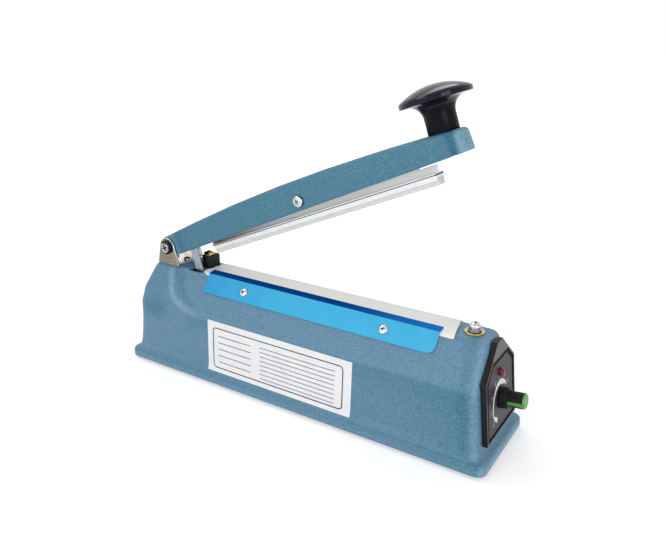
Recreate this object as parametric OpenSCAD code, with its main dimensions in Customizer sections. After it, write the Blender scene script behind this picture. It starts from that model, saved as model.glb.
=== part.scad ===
// Hand impulse heat sealer: a cast housing with a heated bed, a hinged arm that presses a bag's mouth
// onto the bed, and a timer panel on the front end. The arm is drawn open, as it rests.
// Working frame: X runs forward from the arm's hinge axis, Y to the far side, and Z up from the
// housing's lower edge. The finished part is shifted to stand centred on the origin.

/* [Housing] */
// Height of the casting's flat top above its lower edge
body_h = 83; // [78:0.5:88]
// Width over the base flange
base_w = 80.5; // [76:0.5:90]
// Flange edge behind the hinge axis
base_back = 30.5; // [29:0.5:36]
// Flange edge in front of the closed press bar
base_front = 44.4; // [43:0.2:54]
// Height of the base flange
flange_h = 8; // [6:0.5:10]
// Flange overhang past the side walls
flange_lip = 4; // [3:0.5:6]
// Flange overhang past the front wall
front_lip = 5; // [4:0.2:6]
// Flange overhang past the rear wall
rear_lip = 5.2; // [4:0.2:7]
// Radius of the rounded top edge of the flange
flange_edge_r = 3.4; // [2:0.2:3.4]
// Corner radius of the flange in plan
flange_corner_r = 7; // [7:0.5:10]
// Wall thickness of the casting
wall = 3; // [2.5:0.25:4]
// Lean of the side walls, across per unit of height
side_draft = 0.055; // [0.03:0.005:0.08]
// Lean of the end walls, along per unit of height
end_draft = 0.112; // [0.08:0.004:0.13]
// Height of the crease between the side wall and the sloped shoulder
crease_h = 55; // [50:0.5:60]
// Width of the flat top between its sharp corners
top_w = 26; // [25:0.5:29]
// Rounding of the crease and of the vertical corners
crease_r = 6.5; // [5:0.5:9]
// Rounding of the top edges
top_r = 4; // [3:0.5:5]
// Rounding of the top's front edge
nose_r = 7; // [5:0.5:7]
// Width of the domed rear block's top
block_w = 39; // [38:0.5:42]
// Front of the rear block's top, from the hinge axis
block_front = 15; // [14:0.5:17]
// Front of the rear block at its shoulder, from the hinge axis
block_shoulder_front = 20; // [18:0.5:24]
// Height of the rear block's shoulder
block_shoulder_h = 66; // [64:0.5:68]
// Side of the rear block's shoulder, in from the housing's side line
block_shoulder_in = 1; // [0.6:0.2:2]
// Length of the flare that runs from the rear block into the crease
flare_l = 20; // [14:0.5:26]
// Rounding of the rear block's dome
block_r = 8; // [7:0.5:9]
// Rounding of the rear block's top edges
block_top_r = 6.5; // [5:0.5:7]

/* [Underside] */
// Height of the rubber feet under the housing
foot_h = 2.5; // [2:0.25:4]
// Radius of a rubber foot
foot_r = 7; // [6:0.5:9]
// Thickness of the base plate
plate_t = 1.5; // [1:0.25:2.5]
// Play between the base plate and the casting
plate_play = 0.5; // [0.3:0.1:1]
// Height of the screw bosses in the corners
boss_h = 18; // [14:1:26]
// Radius of a screw boss
boss_r = 5; // [4.5:0.25:6]
// Boss axis to the inner wall at the base
boss_inset = 4.2; // [4:0.1:4.4]

/* [Hinge] */
// Hinge axis above the casting's flat top
pivot_rise = 15.5; // [14.5:0.5:18]
// Radius of the hinge bolt
pivot_r = 3; // [2.5:0.25:3.5]
// Sheet thickness of the hinge bracket
bracket_t = 1.8; // [1.5:0.1:2.2]
// Length of the bracket's base along the housing
bracket_l = 23.4; // [22:0.2:25]
// Radius of the bracket's ears about the hinge axis
ear_r = 7.7; // [7:0.1:8.5]
// Play between the arm and each ear
ear_play = 0.6; // [0.4:0.1:1]
// Spacing of the bracket's two screws
bracket_screw_pitch = 13; // [12:0.5:14]

/* [Arm] */
// Angle of the arm above the bed when open
arm_tilt = 24.2; // [22:0.2:26]
// Hinge axis to the middle of the arm's round head
arm_l = 266; // [262:1:276]
// Width of the arm
arm_w = 26; // [25:0.5:29]
// Wall thickness of the arm's channel
arm_wall = 2.6; // [2:0.1:3]
// Lower edge of the arm below the hinge axis
arm_under = 9.2; // [8.8:0.1:10]
// Top of the arm above the hinge axis, at the hinge
arm_top_rear = 8.5; // [8:0.1:9]
// Top of the arm above the hinge line, at the knob
arm_top_front = 6.5; // [5.5:0.1:7.5]
// Rise of the arm's curved top over its chord
arm_rise = 5.6; // [4:0.1:7]
// Rounding of the arm's top edges
arm_edge_r = 3; // [2:0.25:4]
// Radius of the shallow hollow down each side of the arm's head
neck_r = 6; // [5:0.5:8]
// Depth of that hollow, in from the arm's side line
neck_depth = 2; // [1.4:0.1:2.2]
// Hollow in front of the head's middle
neck_ahead = 5; // [3:0.5:6]
// Length of the solid rear end in front of the hinge axis
arm_solid = 8; // [7:0.5:9]

/* [Handle knob] */
// Rim diameter of the knob
knob_d = 47; // [42:0.5:54]
// Knob's axis behind the middle of the head
knob_back = 2.2; // [0:0.1:3]
// Forward lean of the knob from square to the hinge line
knob_lean = 4.8; // [4:0.2:8]
// Diameter of the knob's stem
stem_d = 20.4; // [18:0.2:23]
// Height of the rim's lower face
knob_under_h = 19.8; // [18.5:0.1:24]
// Thickness of the rim
rim_t = 3.5; // [3:0.25:5]
// Rounding of the rim's edges
rim_r = 0.8; // [0.5:0.1:1.2]
// Height of the dome over the rim
dome_h = 6.8; // [5:0.1:8]
// Radius of the flare between the stem and the rim
flare_r = 9; // [7:0.5:11]
// Radius of the handle screw
handle_screw_r = 3; // [2.5:0.25:3]
// Length of the handle screw inside the knob
handle_screw_l = 14; // [10:0.5:18]

/* [Press bar] */
// Hinge axis to the rear end of the bar, along the arm
bar_start = 43; // [42:0.5:48]
// Length of the bar
bar_l = 209; // [204:1:212]
// Rear end of the bar to the bolt it rocks on
bar_pivot = 104; // [98:1:112]
// Rocking bolt below the hinge line
bar_pivot_drop = 2.3; // [1.5:0.1:3]
// Rocking bolt to the pressing face
bar_drop = 18.9; // [18.5:0.1:19.6]
// Lean of the bar from the arm's line when open, front end down
bar_tilt = 1.2; // [0.8:0.1:1.6]
// Radius of the rocking bolt
bar_bolt_r = 2; // [1.75:0.25:2.25]
// Thickness of the carrier's upright web
web_t = 3; // [2:0.25:4]
// Thickness of the carrier's flange on the holder
carrier_t = 1.2; // [1:0.1:1.6]
// Top edge of the web below the bolt
carrier_top = 2.5; // [2:0.25:4]
// Length of the web's lowered front end
nose_l = 13.2; // [12:0.2:18]
// Top edge of that front end below the bolt
nose_drop = 6; // [5.5:0.1:7]
// Height of the plate across the carrier's rear end
end_plate_h = 4.6; // [3:0.1:5]
// Radius of the lug about the bolt
lug_r = 5.2; // [4.5:0.1:6]
// Width of the strip holder
holder_w = 12; // [11:0.5:13]
// Height of the strip holder
holder_h = 3.6; // [3.2:0.1:4]
// Width of the silicone strip
strip_w = 9; // [8:0.25:9.5]
// Silicone strip below the holder
strip_out = 3.2; // [2.8:0.1:3.6]
// Part of the strip that is held in the holder's groove
strip_in = 1.4; // [1:0.1:1.6]
// Gap left for the film when the bar is closed
film_gap = 0.3; // [0.2:0.05:0.6]

/* [Bed] */
// Width of the insulator under the heating band
insulator_w = 12; // [11:0.5:13]
// Thickness of the insulator
insulator_t = 0.8; // [0.6:0.1:1]
// Width of the heating band
band_w = 4; // [2:0.5:5]
// Thickness of the heating band
band_t = 0.3; // [0.2:0.1:0.5]
// Thickness of the non-stick cloth
cloth_t = 0.4; // [0.3:0.05:0.6]
// Cloth hanging down the near shoulder
cloth_near = 2.5; // [2:0.25:4]
// Cloth hanging down the far shoulder
cloth_far = 7; // [5:0.5:10]
// Rear end of the cloth behind the closed bar
cloth_back = 2; // [1.5:0.25:2.5]
// Front end of the cloth in front of the closed bar
cloth_ahead = 4.8; // [4:0.2:8]
// Slant of the cloth's front end
cloth_slant = 12; // [6:1:14]
// Length of the clamp plate
clamp_l = 204.4; // [196:0.4:206]
// Rear end of the clamp plate in front of the closed bar's
clamp_start = 2; // [1:0.5:4]
// Height of the clamp's face down the shoulder
clamp_face = 16; // [14:0.25:17]
// Width of the clamp's top flange
clamp_flange = 5.6; // [4.5:0.1:6]
// Thickness of the clamp plate
clamp_t = 0.8; // [0.6:0.1:1.2]
// Radius of the clamp's lower corner at the front
clamp_r = 6; // [3:0.5:6]
// Radius of the clamp's lower corner at the rear
clamp_rear_r = 2.5; // [1.5:0.25:4]
// Clamp screws from the clamp's ends
clamp_screw_end = 40; // [30:1:60]
// Clamp screws down the clamp's face
clamp_screw_down = 8; // [7:0.25:9]
// Front terminal screw in front of the cloth
front_screw_gap = 11.5; // [9:0.5:12]
// Radius of the brass washer under it
washer_r = 6.8; // [6:0.2:7.4]

/* [Lift link and switch] */
// Link pin along the arm from the hinge axis
link_pin_u = 24.5; // [24:0.25:25]
// Link pin below the hinge line
link_pin_drop = 3.5; // [3:0.1:4]
// Radius of the link pin
link_pin_r = 2; // [1.75:0.25:2]
// Metal left over the ends of the link pin
link_pin_cover = 1.2; // [0.8:0.1:1.6]
// Width of the link
link_w = 7.6; // [7:0.2:8]
// Thickness of the link
link_t = 2; // [1.5:0.1:2.5]
// Near face of the link to the inside of the arm's wall
link_play = 0.5; // [0.4:0.1:1.5]
// Lean of the link from upright
link_lean = 16; // [15:0.5:16.5]
// Height of the link's foot above the casting's lower edge
link_foot_h = 50; // [48:0.5:54]
// Length of the link's foot
link_foot_l = 22; // [20:0.5:24]
// Far side of the link's foot from the middle plane
link_foot_hw = 7; // [6.5:0.25:7.5]
// Thickness of the link's foot
link_foot_t = 2; // [1.5:0.1:2.5]
// Near side of the slot in the casting's top from the middle plane
slot_side = 12.4; // [11.8:0.1:12.6]
// Far side of the slot from the link
slot_play = 1.5; // [1:0.1:2]
// Rear end of the slot from the hinge axis
slot_back = 21.5; // [20:0.1:22.5]
// Length of the slot
slot_l = 14.6; // [14.2:0.1:16]
// Mean radius of the return spring
spring_r = 4.6; // [4:0.2:5]
// Radius of the spring's wire
spring_wire_r = 0.7; // [0.5:0.05:0.9]
// Turns of the spring
spring_turns = 8; // [6:1:9]
// Height of the spring seat above the base plate
seat_h = 9; // [7:0.5:12]
// Length of the switch
switch_l = 20; // [18:0.5:22]
// Width of the switch
switch_w = 6.4; // [6:0.2:8]
// Height of the switch
switch_h = 12; // [10:0.5:14]
// Top of the switch below the lever's hinge
switch_drop = 3.8; // [3.6:0.1:5]
// Length of the switch lever from its hinge to the link's foot
lever_l = 27; // [26:0.5:28]
// Angle of the lever at rest
lever_tilt = 10; // [8:0.5:11]
// Gap between the lever and the link's foot
lever_gap = 0.3; // [0.2:0.05:0.4]

/* [Timer panel] */
// Lower edge of the panel above the casting's lower edge
panel_h0 = 15.9; // [14:0.1:18]
// Half-width of the panel
panel_hw = 27.4; // [25:0.2:28]
// Height of the panel's upright sides
panel_side_h = 44.8; // [42:0.2:46]
// Height of the panel's top edge
panel_top_h = 65.8; // [60:0.2:66]
// Half-width of the panel's top edge
panel_top_hw = 4.8; // [4:0.2:7]
// Thickness of the bezel
bezel_t = 4; // [3.4:0.1:4.6]
// Depth of the bezel's recess
recess_depth = 1.4; // [1.3:0.1:1.8]
// Width of the bezel's rim
rim_w = 1.8; // [1.2:0.1:2.6]
// Height of the recess
recess_h = 54.5; // [50:0.5:56]
// Thickness of the panel plate
panel_plate_t = 0.6; // [0.4:0.1:0.8]
// Timer axis above the panel's lower edge
timer_h = 24; // [22:0.5:26]
// Lamp axis above the panel's lower edge
lamp_h = 43; // [42:0.5:46]
// Radius of the lamp
lamp_r = 2.9; // [2:0.1:3.2]
// Radius of the timer knob's collar
collar_r = 7.5; // [7:0.1:8.5]
// Radius of the timer knob's barrel
barrel_r = 5.5; // [5:0.1:6]
// Length of the timer knob
timer_knob_l = 15.6; // [14.6:0.2:19]
// Length of the collar
collar_l = 4.5; // [4:0.1:6]
// Shaft radius of the timer
shaft_r = 3; // [2.5:0.25:3]

/* [Inner pieces] */
// Length of the transformer's core
core_l = 28; // [24:1:34]
// Width of the core
core_w = 50; // [46:1:54]
// Height of the core
core_h = 42; // [38:1:46]
// Rear face of the transformer's core from the hinge axis
core_x = 100; // [90:1:110]
// Length of the timer board
board_l = 72; // [60:1:84]
// Width of the timer board
board_w = 44; // [38:1:50]
// Height of the board posts
board_post_h = 7; // [5:0.5:10]
// Cord gland above the casting's lower edge
gland_h = 24; // [20:0.5:32]
// Outer radius of the cord gland
gland_r = 7; // [6:0.5:8]

/* [Hidden] */
$fn = 48;
// Radial play of a turning fit and of a still fit
turn_play = 0.05;
still_play = 0.02;
// Play behind a piece that seats on a cast face, outside and inside
seat_play = 0.02;
inner_play = 0.15;
// Overlap that joins two shapes of one piece
hair = 0.01;
// Sides of the casting's roundings
facet_fn = 32;

// Side and shoulder lines of the casting's cross-section
base_hw = base_w / 2 - flange_lip;
crease_hw = base_hw - side_draft * crease_h;
top_hw = top_w / 2;
shoulder = (crease_hw - top_hw) / (body_h - crease_h);
shoulder_angle = atan(shoulder);
side_norm = sqrt(1 + side_draft * side_draft);
shoulder_norm = sqrt(1 + shoulder * shoulder);
end_norm = sqrt(1 + end_draft * end_draft);
end_angle = atan(end_draft);

// Bed surface and the arm's closing motion
pivot_h = body_h + pivot_rise;
bed_step = insulator_t + band_t;
bed_top = body_h + bed_step + cloth_t;
rock_u = bar_start + bar_pivot;
rock_reach = norm([rock_u, bar_pivot_drop]);
rock_phase = atan2(-bar_pivot_drop, rock_u);
closed_dir = asin((bed_top + film_gap + bar_drop - pivot_h) / rock_reach);
close_angle = arm_tilt + rock_phase - closed_dir;
rock_angle = arm_tilt - close_angle - bar_tilt;
bar_x0 = rock_reach * cos(closed_dir) - bar_pivot;
bar_x1 = bar_x0 + bar_l;

// Ends of the base and of its walls
base_x0 = -base_back;
base_x1 = bar_x1 + base_front;
rear_wall_x = base_x0 + rear_lip;
front_wall_x = base_x1 - front_lip;
function rear_x(z) = rear_wall_x + end_draft * z;
function front_x(z) = front_wall_x - end_draft * z;

// Bed pieces along the housing
cloth_x0 = bar_x0 - cloth_back;
cloth_x1 = bar_x1 + cloth_ahead;
edge_turn = (90 - shoulder_angle) / 2;
edge_round = top_r * (tan(edge_turn) - tan(edge_turn / 2));
clamp_x0 = bar_x0 + clamp_start;
front_screw_x = cloth_x1 + front_screw_gap;

// Arm
arm_hw = arm_w / 2;
arm_in_hw = arm_hw - arm_wall;
head_r = arm_hw;
ear_in = arm_hw + ear_play;
ear_out = ear_in + bracket_t;
function arm_top(u) = arm_top_rear + (arm_top_front - arm_top_rear) * u / arm_l
    + 4 * arm_rise * (u / arm_l) * (1 - u / arm_l);
knob_r = knob_d / 2;
stem_r = stem_d / 2;
head_boss_r = 7;
head_boss_drop = 9;

// Press bar, measured from the rocking bolt
holder_bottom = -bar_drop + strip_out;
holder_top = holder_bottom + holder_h;
web_hw = web_t / 2;
bar_front = bar_l - bar_pivot;

// Lift link
link_side = arm_in_hw - link_play;
link_pin_hw = arm_hw - link_pin_cover;
link_pin_x = link_pin_u * cos(arm_tilt) + link_pin_drop * sin(arm_tilt);
link_pin_z = pivot_h + link_pin_u * sin(arm_tilt) - link_pin_drop * cos(arm_tilt);
link_reach = (link_pin_z - link_foot_h) / cos(link_lean);
link_foot_x = link_pin_x + (link_pin_z - link_foot_h) * tan(link_lean);
seat_top = plate_t + seat_h;
spring_x = link_foot_x;
spring_z0 = seat_top + spring_wire_r + still_play;
spring_z1 = link_foot_h - spring_wire_r - still_play;
lever_tip_x = link_foot_x + link_foot_l * 0.6 - 1;
lever_x = lever_tip_x + lever_l * cos(lever_tilt);
lever_t = 0.8;
lever_z = link_foot_h - lever_gap - lever_l * sin(lever_tilt) - lever_t / cos(lever_tilt);
lever_pin_r = 1;
switch_top = lever_z - switch_drop;
switch_x1 = lever_x + 3;

// Lip of the cord gland
gland_lip = 2;

// Rear terminal block, beside the slot and behind the bed
terminal_x1 = cloth_x0 - 1.8;
terminal_x0 = terminal_x1 - 9.6;
terminal_x = (terminal_x0 + terminal_x1) / 2;
terminal_y = 0.6;
terminal_hw = 5.6;
terminal_h = 11;
terminal_t = 0.7;
terminal_head_r = 2.3;
terminal_hl = (terminal_x1 - terminal_x0) / 2;
// Tongue of the brass clip through the block
tongue_w = band_w + 1;
tongue_x = terminal_hl - 2.6;
tongue_play = 0.1;

// Timer panel
timer_face = bezel_t - recess_depth + panel_plate_t;
bushing_r = shaft_r + 1.5;
nut_h = 1.8;
knob_seat = timer_face + nut_h + 0.3;
knob_tip = knob_seat + timer_knob_l;
knob_end_r = barrel_r - 0.6;
function panel_x(out, up) = front_x(panel_h0) + seat_play + out * cos(end_angle) - up * sin(end_angle);
front_end_x = panel_x(knob_tip, timer_h - knob_end_r);

// The whole part stands centred on the origin
frame_x = (base_x0 + front_end_x) / 2;

// Screws
flat_washer_t = 1.1;
spring_washer_t = 2;
small_head_r = 3.4;
small_head_h = 1.8;
small_shank_r = 1.5;
front_shank_r = 2;
front_head_r = 4;
front_head_h = 4.2;
handle_head_r = 5;
handle_head_h = 2.6;
// Hinge bolt's head, nut, and end past the bracket
pivot_head_r = 5.2;
pivot_head_h = 3;
pivot_nut_r = 5.6;
pivot_nut_h = 4.5;
pivot_tail = 6.5;
// Rocking bolt's head, nut, and end past the arm
rock_head_r = 4.3;
rock_head_h = 2.6;
rock_nut_r = 4;
rock_nut_h = 3.2;
rock_tail = 4.5;
// Spacers on the rocking bolt: their wall and end play
spacer_t = 1.8;
spacer_play = 0.15;

// Parts on the timer board, and their places from its rear near corner
board_t = 1.6;
relay = [18, 15, 15];
relay_at = [6, 8];
fuse_block = [22, 8, 10];
fuse_block_at = [10, 31];
capacitor_r = 6;
capacitor_h = 16;
capacitor_in = 18;
// Potentiometer behind the panel
can_r = 8;
can_h = 9;

// Places: every piece is built in one of these frames
module placed() { translate([-frame_x, 0, foot_h]) children(); }
module on_arm() { placed() translate([0, 0, pivot_h]) rotate([0, -arm_tilt, 0]) children(); }
module on_bar() { on_arm() translate([rock_u, 0, -bar_pivot_drop]) rotate([0, bar_tilt, 0]) children(); }
module on_panel() {
    placed() translate([front_x(panel_h0) + seat_play, 0, panel_h0]) rotate([0, -end_angle, 0]) children();
}
module on_rear() {
    placed() translate([rear_x(gland_h) - seat_play, 0, gland_h]) rotate([0, end_angle - 180, 0]) children();
}
// Origin at the near shoulder's sharp top corner, X along the housing, Y down the shoulder, Z out of it
module on_shoulder() {
    placed() translate([0, -top_hw, body_h]) rotate([-90 - shoulder_angle, 0, 0]) mirror([0, 0, 1]) children();
}

// Shared shapes
// Pan-head screw: its seat at Z = 0, its head up and its shank down, with a cross recess
module pan_screw(head_r, head_h, shank_r, shank_l) {
    difference() {
        union() {
            cylinder(r = head_r, h = head_h * 0.5);
            translate([0, 0, head_h * 0.5]) cylinder(r1 = head_r, r2 = head_r * 0.62, h = head_h * 0.5);
            translate([0, 0, -shank_l]) cylinder(r = shank_r, h = shank_l + hair);
        }
        for (a = [0, 90]) translate([0, 0, head_h * 0.75]) rotate([0, 0, a])
            cube([head_r * 1.1, head_r * 0.22, head_h * 0.6], center = true);
    }
}
module hex_nut(r, h, bore_r) {
    difference() {
        cylinder(r = r, h = h, $fn = 6);
        translate([0, 0, -1]) cylinder(r = bore_r, h = h + 2);
    }
}
module washer(r, bore_r, h) {
    difference() {
        cylinder(r = r, h = h);
        translate([0, 0, -1]) cylinder(r = bore_r, h = h + 2);
    }
}
// A cylinder along Y between two planes
module cross_pin(r, y0, y1) { translate([0, y1, 0]) rotate([90, 0, 0]) cylinder(r = r, h = y1 - y0); }
// Points of a path moved sideways by a distance, with mitred corners
function unit(v) = v / norm(v);
function left_of(v) = [-v[1], v[0]];
function side_at(p, i) = let (
    n = len(p),
    before = left_of(unit(p[max(i, 1)] - p[max(i, 1) - 1])),
    after = left_of(unit(p[min(i, n - 2) + 1] - p[min(i, n - 2)]))
) (before + after) / (1 + before * after);
function moved(p, d) = [for (i = [0 : len(p) - 1]) p[i] + d * side_at(p, i)];
function backwards(p) = [for (i = [len(p) - 1 : -1 : 0]) p[i]];
// A bent sheet along the housing: a path in the YZ plane, between two distances from it
module bent_sheet(path, d0, d1, x0, x1) {
    translate([x0, 0, 0]) rotate([90, 0, 90]) linear_extrude(x1 - x0)
        polygon(concat(moved(path, d0), backwards(moved(path, d1))));
}
// Points along the bed's cross-section, from the near shoulder over the top to the far shoulder
function down_near(d) = [-top_hw - d * sin(shoulder_angle), body_h - d * cos(shoulder_angle)];
function down_far(d) = [top_hw + d * sin(shoulder_angle), body_h - d * cos(shoulder_angle)];
bed_hw = insulator_w / 2 + 0.3;
near_edge = [-bed_hw, body_h + bed_step];
far_edge = [bed_hw, body_h + bed_step];
flange_dir = unit(near_edge - down_near(0));

module both_sides(x, hw, z) {
    for (side = [-1, 1]) translate([x, side * hw, z]) children();
}
// How far a rounded edge between the side and the shoulder sinks below the sharp one
function sunk(d) = d * (shoulder_norm - side_norm) / (shoulder - side_draft);
function side_hw(z) = base_hw - side_draft * z;
function top_edge_hw(z, d) = top_hw + shoulder * (body_h - z) - d * shoulder_norm;
// The housing's form, drawn in by a distance
module main_form(inset) {
    cr = crease_r - min(inset, crease_r - 2);
    tr = top_r - min(inset, top_r - 1.5);
    nr = nose_r - min(inset, nose_r - 1.5);
    end_in = inset * end_norm;
    crease_z = crease_h - sunk(inset + cr);
    rear_z = body_h - inset - tr;
    nose_z = body_h - inset - nr;
    hull() {
        for (x = [rear_x(0) + end_in + cr, front_x(0) - end_in - cr])
            both_sides(x, base_hw - inset * side_norm - cr, 0) cylinder(r = cr, h = hair, $fn = facet_fn);
        for (x = [rear_x(crease_z) + end_in + cr * end_norm, front_x(crease_z) - end_in - cr * end_norm])
            both_sides(x, side_hw(crease_z) - (inset + cr) * side_norm, crease_z) sphere(cr, $fn = facet_fn);
        both_sides(rear_x(rear_z) + end_in + tr * end_norm, top_edge_hw(rear_z, inset + tr), rear_z)
            sphere(tr, $fn = facet_fn);
        both_sides(front_x(nose_z) - end_in - nr * end_norm, top_edge_hw(nose_z, inset + nr), nose_z)
            sphere(nr, $fn = facet_fn);
    }
}
// Level of the rear block: its balls' radius and height, its side and its front
module block_level(r, z, hw, front) {
    for (x = [rear_x(z) + r * end_norm, front - r]) both_sides(x, hw - r, z) sphere(r, $fn = facet_fn);
}
module block_shoulder() {
    block_level(block_r, block_shoulder_h - block_r / 2, side_hw(block_shoulder_h) - block_shoulder_in,
        block_shoulder_front);
}
module rear_block_form() {
    foot_z = crease_h - block_r;
    hull() {
        block_level(block_r, foot_z, side_hw(foot_z) - block_r * (side_norm - 1),
            block_shoulder_front + flare_l);
        block_shoulder();
    }
    hull() {
        block_shoulder();
        block_level(block_top_r, body_h - block_top_r, block_w / 2, block_front);
    }
}
// Base flange with a rounded upper edge
module flange_form() {
    hull() for (x = [base_x0 + flange_corner_r, base_x1 - flange_corner_r],
            y = [-1, 1] * (base_w / 2 - flange_corner_r)) translate([x, y, 0]) {
        cylinder(r = flange_corner_r, h = flange_h - flange_edge_r, $fn = facet_fn);
        translate([0, 0, flange_h - flange_edge_r]) rotate_extrude($fn = facet_fn)
            translate([flange_corner_r - flange_edge_r, 0]) circle(flange_edge_r, $fn = facet_fn);
    }
}
// Soft hollow between the flange and the walls
module skirt_form() {
    skirt_out = flange_lip * 0.45;
    skirt_h = flange_h * 0.8;
    hull() for (level = [[flange_h - flange_edge_r * 0.4, skirt_out], [flange_h + skirt_h, 0]])
        let (z = level[0], in = crease_r - level[1]) for (x = [rear_x(z) + in, front_x(z) - in])
            both_sides(x, side_hw(z) - in, z) cylinder(r = crease_r, h = hair, $fn = facet_fn);
}
module at_bosses() {
    for (x = [rear_x(0) + wall + boss_inset, front_x(0) - wall - boss_inset],
            y = [-1, 1] * (base_hw - wall - boss_inset)) translate([x, y, 0]) children();
}
module at_bracket_screws() {
    for (x = [-1, 1] * bracket_screw_pitch / 2) translate([bracket_mid + x, 0, body_h]) children();
}
bracket_mid = 0.35;
module at_clamp_screws() {
    for (x = [clamp_x0 + clamp_screw_end, clamp_x0 + clamp_l - clamp_screw_end])
        on_shoulder() translate([x, clamp_screw_down, 0]) children();
}

module body_casting() color("#6b93ad") {
    boss_bore_r = small_shank_r + still_play;
    difference() {
        union() {
            placed() difference() {
                union() {
                    main_form(0);
                    rear_block_form();
                    flange_form();
                    skirt_form();
                }
                translate([0, 0, -hair]) main_form(wall);
            }
            placed() at_bosses() translate([0, 0, plate_t]) cylinder(r = boss_r, h = boss_h - plate_t);
        }
        placed() at_bosses() translate([0, 0, -1]) cylinder(r = boss_bore_r, h = boss_h - 1);
        placed() translate([slot_back, -slot_side, body_h - 2 * wall])
            cube([slot_l, slot_side - link_side + link_t + slot_play, 3 * wall]);
        placed() at_bracket_screws() translate([0, 0, -2 * wall])
            cylinder(r = small_shank_r + still_play, h = 3 * wall);
        on_terminal() translate([0, 0, -2 * wall]) cylinder(r = small_shank_r + still_play, h = 3 * wall);
        placed() translate([front_screw_x, 0, body_h - 2 * wall])
            cylinder(r = front_shank_r + still_play, h = 3 * wall);
        at_clamp_screws() translate([0, 0, -2 * wall]) cylinder(r = small_shank_r + still_play, h = 4 * wall);
        on_panel() translate([-2 * wall, 0, timer_h]) rotate([0, 90, 0])
            cylinder(r = bushing_r + still_play, h = 3 * wall);
        on_panel() translate([-2 * wall, 0, lamp_h]) rotate([0, 90, 0])
            cylinder(r = lamp_r + 0.2, h = 3 * wall);
        on_rear() translate([-2 * wall, 0, 0]) rotate([0, 90, 0])
            cylinder(r = gland_r - gland_lip + still_play, h = 3 * wall);
    }
}
module base_plate() color("#8c8f92") placed() {
    inset = wall + plate_play;
    x0 = rear_x(0) + inset * end_norm;
    x1 = front_x(plate_t) - inset * end_norm;
    hw = base_hw - side_draft * plate_t - inset * side_norm;
    corner = crease_r - min(wall, crease_r - 2);
    difference() {
        linear_extrude(plate_t) union() {
            translate([x0 + corner, -hw]) square([x1 - x0 - 2 * corner, 2 * hw]);
            translate([x0, -hw + corner]) square([x1 - x0, 2 * (hw - corner)]);
            for (x = [x0 + corner, x1 - corner], y = [-1, 1] * (hw - corner)) translate([x, y]) circle(corner);
        }
        at_bosses() translate([0, 0, -1]) cylinder(r = small_shank_r + 0.2, h = plate_t + 2);
    }
}
module rubber_feet() color("#202022") placed() at_bosses() {
    difference() {
        translate([0, 0, -foot_h]) cylinder(r1 = foot_r - 0.8, r2 = foot_r, h = foot_h);
        translate([0, 0, -foot_h - 1]) cylinder(r = small_shank_r + 0.2, h = foot_h + 2);
        translate([0, 0, -foot_h - 1]) cylinder(r = small_head_r + 0.4, h = foot_h);
    }
}
module base_screws() color("#b9bcc0") placed() at_bosses() {
    rotate([180, 0, 0]) translate([0, 0, 1]) pan_screw(small_head_r, foot_h - 1.4, small_shank_r, boss_h * 0.7);
}
module cord_gland() color("#1d1d1f") on_rear() rotate([0, 90, 0]) {
    throat_r = gland_r - gland_lip;
    rubber_t = 1.8;
    difference() {
        union() {
            cylinder(r1 = gland_r, r2 = gland_r - 1.2, h = gland_lip);
            translate([0, 0, -wall - gland_lip]) cylinder(r = throat_r, h = wall + gland_lip + hair);
            translate([0, 0, -wall - gland_lip - 0.2]) cylinder(r = gland_r - 0.6, h = gland_lip);
        }
        translate([0, 0, -3 * wall]) cylinder(r = throat_r - rubber_t, h = 6 * wall);
    }
}

// Hinge
module hinge_bracket() color("#b3aca2") placed() {
    x0 = bracket_mid - bracket_l / 2;
    rise = pivot_rise;
    difference() {
        union() {
            translate([x0, -ear_out, body_h]) cube([bracket_l, 2 * ear_out, bracket_t]);
            for (y = [-ear_out, ear_in]) translate([0, y + bracket_t, body_h]) rotate([90, 0, 0])
                linear_extrude(bracket_t) ear_outline(x0, rise);
        }
        translate([0, 0, pivot_h]) cross_pin(pivot_r + still_play, -ear_out - 1, ear_out + 1);
        at_bracket_screws() translate([0, 0, -1]) cylinder(r = small_shank_r + 0.2, h = bracket_t + 2);
    }
}
// An ear: upright at its foot, leaning in to a round top about the hinge axis
module ear_outline(x0, rise) {
    lean = 90 - 12;
    side = [cos(90 - lean), sin(90 - lean)] * ear_r;
    union() {
        polygon([[x0, 0], [x0 + bracket_l, 0], [x0 + bracket_l, bracket_t], [side[0], rise + side[1]],
            [-side[0], rise + side[1]], [x0, bracket_t]]);
        translate([0, rise]) circle(ear_r);
    }
}
module bracket_screws() color("#b9bcc0") placed() at_bracket_screws()
    translate([0, 0, bracket_t])
        pan_screw(small_head_r - 0.4, small_head_h, small_shank_r, bracket_t + wall + 3);
module pivot_bolt() color("#c4c5c6") placed() translate([0, -ear_out, pivot_h]) rotate([90, 0, 0])
    pan_screw(pivot_head_r, pivot_head_h, pivot_r, 2 * ear_out + pivot_tail);
module pivot_nut() color("#c4c5c6") placed() translate([0, ear_out, pivot_h]) rotate([-90, 0, 0])
    hex_nut(pivot_nut_r, pivot_nut_h, pivot_r + still_play);

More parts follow.
